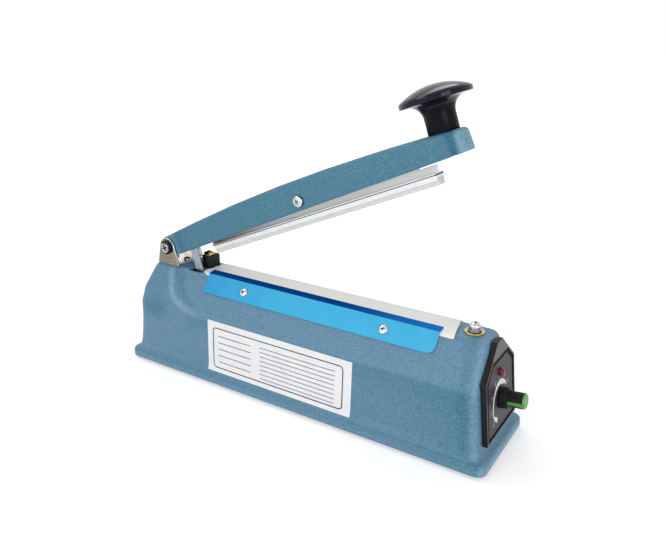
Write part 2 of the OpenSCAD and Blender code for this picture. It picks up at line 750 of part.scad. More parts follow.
// Arm: a channel open below, curved along its top, with a round head
module arm_form(inset, under) {
    edge = max(arm_edge_r - inset, 0.8);
    hw = arm_hw - inset;
    stations = [0.15 : 0.17 : 0.84];
    edge_fn = 16;
    hull() {
        cross_pin(arm_top_rear - inset, -hw, hw, $fn = facet_fn);
        for (k = stations) both_sides(k * arm_l, hw - edge, arm_top(k * arm_l) - inset - edge)
            sphere(edge, $fn = edge_fn);
        for (u = [arm_under, arm_l * 0.84], side = [-1, 1]) translate([u, side * (hw - 0.5), -under + 0.5])
            cube(1, center = true);
        translate([arm_l, 0, arm_top_front]) rotate([0, knob_lean, 0]) translate([0, 0, -inset - edge])
            rotate_extrude($fn = facet_fn) translate([head_r - inset - edge, 0]) circle(edge, $fn = edge_fn);
        translate([arm_l, 0, -under]) cylinder(r = head_r - inset, h = 1, $fn = facet_fn);
    }
}
module on_head() {
    translate([arm_l, 0, arm_top_front]) rotate([0, knob_lean, 0]) translate([-knob_back, 0, 0]) children();
}
module arm_casting() color("#4f8099") on_arm() {
    difference() {
        union() {
            difference() {
                arm_form(0, arm_under);
                difference() {
                    arm_form(arm_wall, arm_under + 2);
                    translate([-2 * arm_solid, -arm_w, -3 * arm_under])
                        cube([3 * arm_solid, 2 * arm_w, 6 * arm_under]);
                }
            }
            on_head() translate([0, 0, -head_boss_drop])
                cylinder(r = head_boss_r, h = head_boss_drop - arm_wall / 2);
        }
        for (side = [-1, 1]) translate([arm_l + neck_ahead, side * (head_r + neck_r - neck_depth), -arm_w])
            cylinder(r = neck_r, h = 2 * arm_w);
        cross_pin(pivot_r + turn_play, -arm_w, arm_w);
        translate([rock_u, 0, -bar_pivot_drop]) cross_pin(bar_bolt_r + still_play, -arm_w, arm_w);
        translate([link_pin_u, 0, -link_pin_drop])
            cross_pin(link_pin_r + still_play, -link_pin_hw, link_pin_hw);
        on_head() translate([0, 0, -2 * head_boss_drop])
            cylinder(r = handle_screw_r + still_play, h = 3 * head_boss_drop);
    }
}
// Mushroom knob, turned about its screw
module handle_knob() color("#22232f") on_arm() on_head() {
    rim_top = knob_under_h + rim_t;
    dome_r = (knob_r * knob_r + dome_h * dome_h) / (2 * dome_h);
    difference() {
        rotate_extrude($fn = 96) union() {
            difference() {
                square([stem_r + flare_r, knob_under_h + hair]);
                translate([stem_r + flare_r, knob_under_h - flare_r]) circle(flare_r);
                translate([stem_r, -1]) square([knob_r, knob_under_h - flare_r + 1]);
            }
            translate([0, knob_under_h]) square([knob_r - rim_r, rim_t]);
            translate([0, knob_under_h + rim_r]) square([knob_r, rim_t - 2 * rim_r]);
            for (z = [knob_under_h + rim_r, rim_top - rim_r]) translate([knob_r - rim_r, z]) circle(rim_r);
            intersection() {
                translate([0, rim_top + dome_h - dome_r]) circle(dome_r, $fn = 180);
                translate([0, rim_top - rim_r]) square([knob_r - rim_r, 2 * dome_h]);
            }
        }
        translate([0, 0, -1]) cylinder(r = handle_screw_r + still_play, h = handle_screw_l + 2);
    }
}
module handle_screw() color("#b9bcc0") on_arm() on_head() translate([0, 0, -head_boss_drop])
    rotate([180, 0, 0])
        pan_screw(handle_head_r, handle_head_h, handle_screw_r, head_boss_drop + handle_screw_l);
module press_bar_bolt() color("#d3d4d6") on_bar() translate([0, -arm_hw, 0]) rotate([90, 0, 0])
    pan_screw(rock_head_r, rock_head_h, bar_bolt_r, arm_w + rock_tail);
module press_bar_nut() color("#c4c5c6") on_bar() translate([0, arm_hw, 0]) rotate([-90, 0, 0])
    hex_nut(rock_nut_r, rock_nut_h, bar_bolt_r + still_play);
module bar_spacers() color("#c9a54a") on_bar() {
    for (y = [-arm_in_hw, web_hw] + [1, 1] * spacer_play) difference() {
        cross_pin(bar_bolt_r + spacer_t, y, y + arm_in_hw - web_hw - 2 * spacer_play);
        cross_pin(bar_bolt_r + still_play, -arm_w, arm_w);
    }
}
module link_pin() color("#c4c5c6") on_arm() translate([link_pin_u, 0, -link_pin_drop])
    cross_pin(link_pin_r, -link_pin_hw, link_pin_hw);

// Press bar: a T-section with a lug on the rocking bolt, a holder under it and a soft strip
module press_bar() color("#d9dadc") on_bar() {
    nose_x = bar_front - nose_l;
    difference() {
        union() {
            translate([0, web_hw, 0]) rotate([90, 0, 0]) linear_extrude(web_t) union() {
                polygon([[-bar_pivot, holder_top], [bar_front, holder_top], [bar_front, -nose_drop],
                    [nose_x, -nose_drop], [nose_x, -carrier_top], [-bar_pivot, -carrier_top]]);
                circle(lug_r);
            }
            translate([-bar_pivot, -holder_w / 2, holder_top]) cube([bar_l, holder_w, carrier_t]);
            translate([-bar_pivot, -holder_w / 2, holder_top]) cube([carrier_t, holder_w, end_plate_h]);
        }
        cross_pin(bar_bolt_r + turn_play, -holder_w, holder_w);
    }
}
module strip_holder() color("#e6e6e6") on_bar() {
    groove_w = strip_w + 2 * still_play;
    lip = 0.8;
    difference() {
        translate([-bar_pivot, -holder_w / 2, holder_bottom]) cube([bar_l, holder_w, holder_h]);
        translate([-bar_pivot - 1, -groove_w / 2, holder_bottom - 1])
            cube([bar_l + 2, groove_w, strip_in + still_play + 1]);
        for (side = [-1, 1]) translate([-bar_pivot - 1, side * holder_w / 2 - lip / 2, holder_bottom + lip])
            cube([bar_l + 2, lip, lip]);
    }
}
module silicone_strip() color("#eceae6") on_bar() {
    crown = 0.6;
    translate([-bar_pivot, 0, 0]) rotate([90, 0, 90]) linear_extrude(bar_l)
        polygon([[-strip_w / 2, holder_bottom + strip_in], [-strip_w / 2, -bar_drop + crown],
            [-strip_w / 2 + crown, -bar_drop], [strip_w / 2 - crown, -bar_drop],
            [strip_w / 2, -bar_drop + crown], [strip_w / 2, holder_bottom + strip_in]]);
}

// Lift link: hangs from the arm's pin, leans forward into the slot and ends in a foot on the spring
module lift_link() color("#9a9ca0") placed() {
    pilot_h = 5;
    pilot_r = spring_r - spring_wire_r - 0.5;
    difference() {
        union() {
            translate([link_pin_x, -link_side + link_t, link_pin_z]) rotate([90, -link_lean, 0])
                linear_extrude(link_t) union() {
                    circle(link_w / 2);
                    translate([-link_w / 2, -link_reach]) square([link_w, link_reach]);
                }
            translate([link_foot_x - link_foot_l * 0.4, -link_side, link_foot_h])
                cube([link_foot_l, link_side + link_foot_hw, link_foot_t]);
            translate([spring_x, 0, link_foot_h - pilot_h])
                cylinder(r = pilot_r, h = pilot_h + hair);
        }
        translate([link_pin_x, 0, link_pin_z]) cross_pin(link_pin_r + turn_play, -arm_w, arm_w);
        translate([link_foot_x - link_foot_l, -arm_w, link_foot_h - 3 * pilot_h]) difference() {
            cube([2 * link_foot_l, 2 * arm_w, 3 * pilot_h]);
            translate([link_foot_l, arm_w, 0]) cylinder(r = pilot_r, h = 4 * pilot_h);
        }
    }
}
// Return spring: one round wire on a helix
spring_rings = 8;
spring_sides = 6;
function spring_at(t) = [spring_x + spring_r * cos(360 * t), spring_r * sin(360 * t),
    spring_z0 + (spring_z1 - spring_z0) * t / spring_turns];
function ring_point(t, k) = let (
    along = unit(spring_at(t + 0.01) - spring_at(t - 0.01)),
    out = [cos(360 * t), sin(360 * t), 0],
    up = cross(out, along),
    a = 360 * k / spring_sides
) spring_at(t) + spring_wire_r * (out * cos(a) - up * sin(a));
function ring_index(i, k) = i * spring_sides + k % spring_sides;
module return_spring() color("#b9bcc0") placed() {
    rings = spring_turns * spring_rings;
    points = [for (i = [0 : rings], k = [0 : spring_sides - 1]) ring_point(i / spring_rings, k)];
    walls = [for (i = [0 : rings - 1], k = [0 : spring_sides - 1], half = [0, 1]) half == 0
        ? [ring_index(i, k), ring_index(i + 1, k), ring_index(i + 1, k + 1)]
        : [ring_index(i, k), ring_index(i + 1, k + 1), ring_index(i, k + 1)]];
    caps = [[for (k = [0 : spring_sides - 1]) ring_index(0, k)],
        [for (k = [spring_sides - 1 : -1 : 0]) ring_index(rings, k)]];
    turn_gaps = [for (i = [0 : rings - spring_rings])
        norm(spring_at(i / spring_rings + 1) - spring_at(i / spring_rings)) - 2 * spring_wire_r];
    echo(least_gap_between_turns = min(turn_gaps));
    polyhedron(points, concat(walls, caps), convexity = 10);
}
module spring_seat() color("#2a2a2c") placed() translate([spring_x, 0, plate_t]) {
    guide_r = spring_r - spring_wire_r - 0.4;
    cylinder(r = spring_r + spring_wire_r + 2, h = seat_h);
    cylinder(r = guide_r, h = seat_h + 4);
}

// Switch that the link's foot works through a lever
module microswitch() color("#26262a") placed() {
    difference() {
        union() {
            translate([switch_x1 - switch_l, -switch_w / 2, switch_top - switch_h])
                cube([switch_l, switch_w, switch_h]);
            for (y = [-switch_w / 2, switch_w / 2 - 1]) translate([lever_x - 2, y, switch_top - hair])
                cube([4, 1, lever_z - switch_top + 1.6]);
        }
        translate([lever_x, 0, lever_z]) cross_pin(lever_pin_r + turn_play, -switch_w, switch_w);
    }
}
module on_lever() { placed() translate([lever_x, 0, lever_z]) rotate([0, lever_tilt, 0]) children(); }
module microswitch_lever() color("#c4c5c6") on_lever() {
    leaf_w = switch_w - 2 - 0.8;
    cross_pin(lever_pin_r, -switch_w / 2, switch_w / 2);
    translate([-lever_l, -leaf_w / 2, 0]) cube([lever_l, leaf_w, lever_t]);
    cross_pin(lever_pin_r + 0.4, -leaf_w / 2, leaf_w / 2);
}
module switch_bracket() color("#8c8f92") placed() {
    sheet = 1.2;
    foot_w = 10;
    translate([switch_x1 - switch_l, switch_w / 2, plate_t]) {
        cube([switch_l, sheet, switch_top - plate_t - 2]);
        cube([switch_l, foot_w, sheet]);
    }
}

// Bed: insulator, heating band, non-stick cloth and the plate that clamps it
module bed_insulator() color("#c9bfa4") placed()
    translate([cloth_x0, -insulator_w / 2, body_h]) cube([cloth_x1 - cloth_x0, insulator_w, insulator_t]);
module heating_band() color("#a9a7a2") placed()
    translate([terminal_x1 + terminal_t, -band_w / 2, body_h + insulator_t])
        cube([cloth_x1 - 1 - terminal_x1 - terminal_t, band_w, band_t]);
module ptfe_sheet() color("#dcdad6") placed() difference() {
    far_side = [top_hw - edge_round, body_h];
    bent_sheet([down_near(cloth_near), down_near(0), near_edge, far_edge, far_side, down_far(edge_round),
        down_far(edge_round + cloth_far)], 0, cloth_t, cloth_x0, cloth_x1 + top_w * tan(cloth_slant));
    translate([cloth_x1, 0, 0]) rotate([0, 0, cloth_slant]) translate([0, -base_w, 0])
        cube([base_w, 2 * base_w, 2 * body_h]);
}
// The clamp's outline on the shoulder, with rounded lower corners
function corner(x, y, r, from) = [for (a = [from : 10 : from + 90]) [x, y] + r * [cos(a), sin(a)]];
module clamp_outline() {
    over = 2 * clamp_flange;
    polygon(concat([[0, -over], [clamp_l, -over]],
        corner(clamp_l - clamp_r, clamp_face - clamp_r, clamp_r, 0),
        corner(clamp_rear_r, clamp_face - clamp_rear_r, clamp_rear_r, 90)));
}
module clamp_plate() color("#3db4ee") difference() {
    spare = 2;
    intersection() {
        placed() bent_sheet(
            [down_near(clamp_face + spare), down_near(0), down_near(0) + clamp_flange * flange_dir],
            cloth_t, cloth_t + clamp_t, clamp_x0 - spare, clamp_x0 + clamp_l + spare);
        on_shoulder() translate([clamp_x0, 0, -2 * clamp_flange])
            linear_extrude(4 * clamp_flange) clamp_outline();
    }
    at_clamp_screws() translate([0, 0, -1]) cylinder(r = small_shank_r + 0.2, h = cloth_t + clamp_t + 2);
}
module clamp_screws() color("#d3d4d6") at_clamp_screws()
    translate([0, 0, cloth_t + clamp_t])
        pan_screw(small_head_r, small_head_h, small_shank_r, cloth_t + clamp_t + wall + 3);

// Terminals at the bed's ends
module on_terminal() { placed() translate([terminal_x, terminal_y, body_h]) children(); }
module rear_terminal_block() color("#1b1b1d") on_terminal() difference() {
    ridge_t = 2;
    ridge_in = 2.4;
    slot_w = tongue_w + 2 * tongue_play;
    union() {
        translate([-terminal_hl, -terminal_hw, 0]) cube([2 * terminal_hl, 2 * terminal_hw, terminal_h]);
        translate([-terminal_hl, -terminal_hw + ridge_in, terminal_h - hair])
            cube([ridge_t, 2 * (terminal_hw - ridge_in), ridge_t]);
    }
    translate([0, 0, -1]) cylinder(r = small_shank_r + still_play, h = terminal_h + 4);
    translate([tongue_x - tongue_play, -terminal_y - slot_w / 2, -1]) {
        cube([terminal_t + 2 * tongue_play, slot_w, terminal_h + 2]);
        cube([2 * terminal_hl, slot_w, insulator_t + terminal_t + tongue_play + 1]);
    }
}
// Brass clip: over the block's top, down through the block and forward to the heating band
module rear_terminal() color("#b79a4c") on_terminal() difference() {
    ridge_room = 2.2;
    clip_w = 2 * (terminal_y + band_w);
    union() {
        translate([ridge_room - terminal_hl, -clip_w / 2, terminal_h])
            cube([tongue_x + terminal_t + terminal_hl - ridge_room, clip_w, terminal_t]);
        translate([tongue_x, -terminal_y - tongue_w / 2, insulator_t]) {
            cube([terminal_t, tongue_w, terminal_h - insulator_t + hair]);
            cube([terminal_hl + terminal_t - tongue_x, tongue_w, terminal_t]);
        }
    }
    cylinder(r = small_shank_r + 0.2, h = terminal_h + 4);
}
module terminal_screw() color("#c9a54a") on_terminal() translate([0, 0, terminal_h + terminal_t])
    pan_screw(terminal_head_r, small_head_h, small_shank_r, terminal_h + terminal_t + wall + 2);
module front_washers() color("#d8b348") placed() translate([front_screw_x, 0, body_h]) {
    washer(washer_r, front_shank_r + 0.2, flat_washer_t);
    translate([0, 0, flat_washer_t]) washer(washer_r - 1.5, front_shank_r + 0.2, spring_washer_t);
}
module front_screw() color("#d3d4d6") placed() {
    grip = flat_washer_t + spring_washer_t;
    translate([front_screw_x, 0, body_h + grip])
        pan_screw(front_head_r, front_head_h, front_shank_r, grip + wall + 5);
}

// Timer panel
function panel_outline(in, top) = let (
    drop = (panel_top_h - panel_side_h) / (panel_hw - panel_top_hw),
    side_top = panel_side_h - in * (sqrt(1 + drop * drop) - drop),
    top_hw = panel_top_hw + (panel_top_h - top) / drop - in * sqrt(1 + drop * drop) / drop
) [[-panel_hw + in, in], [panel_hw - in, in], [panel_hw - in, side_top], [top_hw, top], [-top_hw, top],
    [-panel_hw + in, side_top]];
module panel_holes(r_timer, r_lamp) {
    translate([0, timer_h]) circle(r_timer);
    translate([0, lamp_h]) circle(r_lamp);
}
module upright(x, t) { translate([x, 0, 0]) rotate([90, 0, 90]) linear_extrude(t) children(); }
module panel_bezel() color("#232224") on_panel() difference() {
    upright(0, bezel_t) polygon(panel_outline(0, panel_top_h));
    upright(bezel_t - recess_depth, bezel_t) polygon(panel_outline(rim_w, recess_h));
    upright(-1, bezel_t) panel_holes(bushing_r + 0.1, lamp_r + 0.1);
}
module panel_plate() color("#5a5657") on_panel() upright(bezel_t - recess_depth, panel_plate_t) difference() {
    polygon(panel_outline(rim_w + 0.15, recess_h - 0.15));
    panel_holes(bushing_r + 0.1, lamp_r + 0.1);
}
module indicator_lamp() color("#7a1020") on_panel() translate([0, 0, lamp_h]) rotate([0, 90, 0]) {
    flange_t = 2;
    inner = -wall - inner_play - flange_t;
    translate([0, 0, inner]) cylinder(r = lamp_r, h = timer_face + 0.6 - inner);
    translate([0, 0, inner]) cylinder(r = lamp_r + 0.9, h = flange_t);
    translate([0, 0, timer_face + 0.6]) difference() {
        sphere(lamp_r);
        translate([0, 0, -lamp_r]) cube([3 * lamp_r, 3 * lamp_r, 2 * lamp_r], center = true);
    }
}
module on_timer() { on_panel() translate([0, 0, timer_h]) rotate([0, 90, 0]) children(); }
stripe_w = 2.6;
stripe_depth = 1.1;
cap_t = 1.2;
pointer_turn = 278;
// The green insert: a stripe along the barrel and a cap on its end
module pointer_form(grow) {
    rotate([0, 0, pointer_turn]) translate([barrel_r - stripe_depth - grow, -stripe_w / 2 - grow, collar_l])
        cube([stripe_depth + 0.3 + 2 * grow, stripe_w + 2 * grow, timer_knob_l - collar_l - hair]);
}
module timer_knob() color("#1f1f22") on_timer() translate([0, 0, knob_seat]) difference() {
    union() {
        cylinder(r1 = collar_r, r2 = collar_r - 0.5, h = collar_l);
        cylinder(r = barrel_r, h = timer_knob_l - cap_t);
    }
    for (a = [40 : 20 : 320]) rotate([0, 0, pointer_turn + a])
        translate([barrel_r + 0.25, 0, collar_l + 0.4]) cylinder(r = 0.55, h = timer_knob_l);
    pointer_form(still_play);
    translate([0, 0, -1]) cylinder(r = shaft_r + still_play, h = timer_knob_l - 4);
    translate([0, 0, -1]) cylinder(r = bushing_r + 1.8, h = 1 + 0.4);
}
module timer_pointer() color("#5aa53c") on_timer() translate([0, 0, knob_seat]) {
    pointer_form(0);
    translate([0, 0, timer_knob_l - cap_t]) cylinder(r1 = barrel_r, r2 = knob_end_r, h = cap_t);
}
module timer_shaft() color("#c4c5c6") on_timer() translate([0, 0, -wall - 8])
    cylinder(r = shaft_r, h = wall + 8 + knob_seat + timer_knob_l - 6);
module potentiometer() color("#9b9ea3") on_timer() difference() {
    union() {
        translate([0, 0, -wall - inner_play - can_h]) cylinder(r = can_r, h = can_h);
        translate([0, 0, -wall - 1]) cylinder(r = bushing_r, h = wall + 1 + timer_face + nut_h);
        translate([0, 0, timer_face]) cylinder(r = bushing_r + 1.5, h = nut_h, $fn = 6);
    }
    translate([0, 0, -wall - 8 - turn_play]) cylinder(r = shaft_r + turn_play, h = 40);
}

// Pieces on the base plate
board_x1 = front_x(0) - wall - 2 * boss_r - 20;
module at_posts() {
    post_in = 4;
    for (x = [board_x1 - board_l + post_in, board_x1 - post_in])
        both_sides(x, board_w / 2 - post_in, plate_t) children();
}
module board_posts() color("#c9a54a") placed() at_posts() cylinder(r = 2.5, h = board_post_h);
module on_board() { placed() translate([board_x1 - board_l, -board_w / 2, plate_t + board_post_h]) children(); }
module timer_board() color("#2f6b3c") on_board() {
    cube([board_l, board_w, board_t]);
    translate([0, 0, board_t - hair]) {
        translate(relay_at) cube(relay);
        translate(fuse_block_at) cube(fuse_block);
        translate([board_l - capacitor_in, board_w / 2, 0]) cylinder(r = capacitor_r, h = capacitor_h);
    }
}
module transformer_core() color("#55585c") placed() translate([core_x, -core_w / 2, plate_t]) {
    window_w = core_w / 6;
    window_h = core_h - core_w / 3;
    difference() {
        cube([core_l, core_w, core_h]);
        for (y = [core_w / 6, core_w * 4 / 6]) translate([-1, y, (core_h - window_h) / 2])
            cube([core_l + 2, window_w, window_h]);
    }
}
module transformer_coil() color("#b0682c") placed() translate([core_x, -core_w / 2, plate_t]) {
    play = 0.2;
    window_h = core_h - core_w / 3;
    bulge = core_w / 6 - 1;
    translate([0, 0, (core_h - window_h) / 2 + play]) difference() {
        translate([-bulge, core_w / 6 + play, 0])
            cube([core_l + 2 * bulge, core_w * 4 / 6 - 2 * play, window_h - 2 * play]);
        translate([-play, core_w / 3 - play, -1])
            cube([core_l + 2 * play, core_w / 3 + 2 * play, window_h + 2]);
    }
}

body_casting();
base_plate();
base_screws();
rubber_feet();
cord_gland();
hinge_bracket();
bracket_screws();
pivot_bolt();
pivot_nut();
arm_casting();
handle_knob();
handle_screw();
press_bar_bolt();
press_bar_nut();
bar_spacers();
link_pin();
press_bar();
strip_holder();
silicone_strip();
lift_link();
return_spring();
spring_seat();
microswitch();
microswitch_lever();
switch_bracket();
bed_insulator();
heating_band();
ptfe_sheet();
clamp_plate();
clamp_screws();
rear_terminal_block();
rear_terminal();
terminal_screw();
front_screw();
front_washers();
panel_bezel();
panel_plate();
indicator_lamp();
timer_knob();
timer_pointer();
timer_shaft();
potentiometer();
timer_board();
board_posts();
transformer_core();
transformer_coil();
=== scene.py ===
import math

import bmesh
import bpy
from mathutils import Matrix, Vector
from mathutils.bvhtree import BVHTree
from mathutils.geometry import convex_hull_2d


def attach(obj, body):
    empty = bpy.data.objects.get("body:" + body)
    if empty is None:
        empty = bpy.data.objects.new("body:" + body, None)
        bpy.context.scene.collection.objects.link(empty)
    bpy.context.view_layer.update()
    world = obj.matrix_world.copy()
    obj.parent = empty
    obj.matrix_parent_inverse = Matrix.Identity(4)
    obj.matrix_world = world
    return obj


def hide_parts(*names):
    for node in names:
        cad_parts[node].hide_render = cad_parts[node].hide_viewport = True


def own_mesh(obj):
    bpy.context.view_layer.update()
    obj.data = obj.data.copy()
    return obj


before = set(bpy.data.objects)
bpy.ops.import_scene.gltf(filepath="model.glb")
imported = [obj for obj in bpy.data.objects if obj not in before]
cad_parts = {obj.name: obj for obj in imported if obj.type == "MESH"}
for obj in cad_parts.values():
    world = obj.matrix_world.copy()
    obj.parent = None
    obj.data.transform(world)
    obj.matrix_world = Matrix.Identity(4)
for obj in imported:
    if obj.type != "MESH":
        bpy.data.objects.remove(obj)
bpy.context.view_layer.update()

MM = 0.001

# Sizes in millimetres, measured as in the part's source: X forward from the arm's hinge, Z up from the
# casting's lower edge
FRAME_X = 138.855
FOOT_H = 2.5
BODY_H = 83.0
TOP_HW = 13.0
CREASE_H = 55.0
BASE_HW = 36.25
SIDE_DRAFT = 0.055
END_ANGLE = 6.3905
FRONT_WALL_X = 291.326
REAR_WALL_X = -25.3
PIVOT_H = 98.5
ARM_TILT = 24.2
ARM_L = 266.0
ARM_TOP_FRONT = 6.5
KNOB_LEAN = 4.8
KNOB_BACK = 2.2
EAR_OUT = 15.4
ARM_HW = 13.0
ROCK_U = 147.0
ROCK_DROP = 2.3
BAR_TILT = 1.2
BAR_BACK = 104.0
BAR_FRONT = 105.0
HOLDER_HW = 6.0
HOLDER_TOP = -12.1
PANEL_H0 = 15.9
PANEL_FACE = 3.2
TIMER_H = 24.0
LAMP_H = 43.0
CLOTH_X0 = 40.925
CLOTH_X1 = 256.725
CLOTH_SLANT = 12.0
CLAMP_X0 = 44.925
CLAMP_L = 204.4
CLAMP_STACK = 1.2
FRONT_SCREW_X = 268.225
TERMINAL = (34.325, 0.6, 94.7)
LINK_FOOT_X = 39.653

SHOULDER_ANGLE = math.atan((BASE_HW - SIDE_DRAFT * CREASE_H - TOP_HW) / (BODY_H - CREASE_H))


def turn(degrees, axis):
    return Matrix.Rotation(math.radians(degrees), 4, axis)


def at(x, y, z):
    return Matrix.Translation((x, y, z))


def axes(x, y, z):
    """A turn whose columns are the three directions."""
    return Matrix((x, y, z)).transposed().to_4x4()


def unit(value):
    """A value held between 0 and 1."""
    return max(0, min(1, value))


def rise(value, start, end):
    """A straight line that is 0 at the start and 1 at the end."""
    return (value - start) / (end - start)


def ramp(value, start, end):
    """The same line, held between 0 and 1."""
    return unit(rise(value, start, end))


# Frames of the part: millimetres in each become metres in the scene
STAND = Matrix.Scale(MM, 4) @ at(-FRAME_X, 0, FOOT_H)
ARM = STAND @ at(0, 0, PIVOT_H) @ turn(-ARM_TILT, "Y")
HEAD = ARM @ at(ARM_L, 0, ARM_TOP_FRONT) @ turn(KNOB_LEAN, "Y") @ at(-KNOB_BACK, 0, 0)
BAR = ARM @ at(ROCK_U, 0, -ROCK_DROP) @ turn(BAR_TILT, "Y")
PANEL = (STAND @ at(FRONT_WALL_X - math.tan(math.radians(END_ANGLE)) * PANEL_H0 + 0.02, 0, PANEL_H0)
         @ turn(-END_ANGLE, "Y") @ axes((0, 1, 0), (0, 0, 1), (1, 0, 0)))
SHOULDER = STAND @ at(0, -TOP_HW, BODY_H) @ turn(90 - math.degrees(SHOULDER_ANGLE), "X")
SIDE_ANGLE = math.degrees(math.atan(SIDE_DRAFT))
NEAR_WALL = STAND @ at(0, -BASE_HW, 0) @ turn(90 - SIDE_ANGLE, "X")
NEAR_FACING = turn(90, "X")


# Finishes

def linear(code):
    """An sRGB hex colour as linear red, green, blue and a full alpha."""
    parts = [int(code[k:k + 2], 16) / 255 for k in (1, 3, 5)]
    return [p / 12.92 if p <= 0.04045 else ((p + 0.055) / 1.055) ** 2.4 for p in parts] + [1]


def add(tree, kind, settings, sockets):
    """One node with its settings; a socket's value is a number, a colour or another node's output."""
    made = tree.nodes.new(kind)
    for key, value in settings.items():
        setattr(made, key, value)
    for key, value in sockets.items():
        if isinstance(value, bpy.types.NodeSocket):
            tree.links.new(value, made.inputs[key])
        else:
            made.inputs[key].default_value = value
    return made


def blend(tree, amount, low, high, kind="MIX"):
    """Two colours mixed; each is a hex code or another node's output."""
    low, high = [linear(colour) if isinstance(colour, str) else colour for colour in (low, high)]
    return add(tree, "ShaderNodeMix", {"data_type": "RGBA", "blend_type": kind},
               {0: amount, 6: low, 7: high}).outputs[2]


def span(tree, value, start, end, low=0.0, high=1.0, curve="LINEAR"):
    """A value taken from one range to another."""
    return add(tree, "ShaderNodeMapRange", {"interpolation_type": curve},
               {"Value": value, "From Min": start, "From Max": end,
                "To Min": low, "To Max": high}).outputs[0]


def reckon(tree, operation, first, second):
    """A sum, product or the like of two values."""
    return add(tree, "ShaderNodeMath", {"operation": operation}, {0: first, 1: second}).outputs[0]


def clouds(tree, place, size, detail, rough=0.5):
    """Noise whose grains are some millimetres wide."""
    return add(tree, "ShaderNodeTexNoise", {},
               {"Vector": place, "Scale": 1 / (size * MM), "Detail": detail, "Roughness": rough}).outputs[0]


def drawn_out(tree, place, stretch):
    """Coordinates that draw a pattern out along an axis."""
    return add(tree, "ShaderNodeMapping", {}, {"Vector": place, "Scale": stretch}).outputs[0]


def bumped(tree, height, relief, strength=1.0):
    """Normals for a relief in millimetres."""
    return add(tree, "ShaderNodeBump", {},
               {"Height": height, "Distance": relief * MM, "Strength": strength}).outputs[0]


def plug(tree, shader, outputs):
    """Links outputs to the shader's sockets."""
    for key, value in outputs.items():
        tree.links.new(value, shader.inputs[key])


def new_finish(name, sockets):
    """A material with plain values on its shader, its node tree, its shader and its object coordinates."""
    made = bpy.data.materials.new(name)
    made.use_nodes = True
    tree = made.node_tree
    shader = tree.nodes["Principled BSDF"]
    for key, value in sockets.items():
        shader.inputs[key].default_value = value
    place = add(tree, "ShaderNodeTexCoord", {}, {}).outputs["Object"]
    return made, tree, shader, place


def grained(name, tone, shade, grain, rough, relief=0.0, stretch=(1, 1, 1), sockets={}):
    """A finish whose tone, gloss and relief follow one grain. Grain and relief are in millimetres."""
    made, tree, shader, place = new_finish(name, sockets)
    grains = clouds(tree, drawn_out(tree, place, stretch), grain, 4.0, 0.6)
    spread = span(tree, grains, 0.3, 0.7)
    plug(tree, shader, {"Base Color": blend(tree, spread, shade, tone),
                        "Roughness": span(tree, spread, 0, 1, *rough)})
    if relief:
        plug(tree, shader, {"Normal": bumped(tree, grains, relief)})
    return made


# Marks that a casting's mesh carries: how much painted shade it has, in hollows and under creases, and how
# much painted highlight, over ridges and edges
LIGHT_MARKS = ("painted_shade", "painted_highlight")


def hammer_enamel(name, tone, shade, dark, relief, shaded_tone, highlight):
    """Hammer-finish enamel, sprayed on a casting: satin, with shallow cells of about 1.5 mm, under tones
    that drift over a few centimetres. The cells are drawn a little coarser than real ones, so that they
    show. The colour is darker and rougher, a painted shade, where the mesh marks shade in hollows and
    creases, and paler, a painted highlight, where it marks a highlight over ridges and edges."""
    CELL, PEBBLE, DRIFT = 1.7, 1.6, 45
    made, tree, shader, place = new_finish(name, {"Specular IOR Level": 0.4})
    painted_shade, painted_highlight = [add(tree, "ShaderNodeAttribute", {"attribute_name": mark}, {}).outputs["Fac"]
                       for mark in LIGHT_MARKS]
    cells = add(tree, "ShaderNodeTexVoronoi", {"feature": "SMOOTH_F1"},
                {"Vector": place, "Scale": 1 / (CELL * MM), "Smoothness": 0.6,
                 "Randomness": 1.0}).outputs["Distance"]
    pebble = clouds(tree, place, PEBBLE, 3.0, 0.55)
    drift = clouds(tree, place, DRIFT, 2.0)
    dapple = span(tree, pebble, 0.36, 0.64)
    rims = span(tree, cells, 0.35, 0.8, high=0.4)
    colour = blend(tree, span(tree, drift, 0.35, 0.65, high=0.6), tone, shade)
    # Painted shade and painted highlight, as the mesh marks them, mixed into the paint's colour
    colour = blend(tree, painted_shade, colour, shaded_tone)
    colour = blend(tree, painted_highlight, colour, highlight)
    fine = reckon(tree, "MULTIPLY", dapple, span(tree, painted_shade, 0, 1, dark, 1.0))
    for amount in (fine, rims):
        colour = blend(tree, amount, colour, "#bfd8d8", "MULTIPLY")
    height = reckon(tree, "SUBTRACT", pebble, rims)
    plug(tree, shader, {"Base Color": colour, "Roughness": span(tree, dapple, 0, 1, 0.5, 0.4),
                        "Normal": bumped(tree, height, relief)})
    return made


def glass_cloth():
    """Glass cloth with a non-stick coating: an off-white sheet with a faint waxy gloss and a plain weave.
    The threads are drawn 1 mm apart, coarser than real ones, so that they show."""
    THREAD, STAIN = 1.0, 18
    made, tree, shader, place = new_finish("coated_glass_cloth",
                                           {"Coat Weight": 0.15, "Coat Roughness": 0.35})
    weave = [add(tree, "ShaderNodeTexWave", {"bands_direction": axis},
                 {"Vector": place, "Scale": math.pi / (10 * THREAD * MM), "Distortion": 0.3}).outputs["Fac"]
             for axis in ("X", "Y")]
    crossed = reckon(tree, "MULTIPLY", *weave)
    stain = clouds(tree, place, STAIN, 3.0)
    tone = blend(tree, stain, "#ebeae7", "#f6f5f2")
    plug(tree, shader, {"Base Color": blend(tree, 0.12, tone, crossed, "MULTIPLY"),
                        "Roughness": span(tree, stain, 0, 1, 0.5, 0.62),
                        "Normal": bumped(tree, crossed, 0.05, 0.7)})
    return made


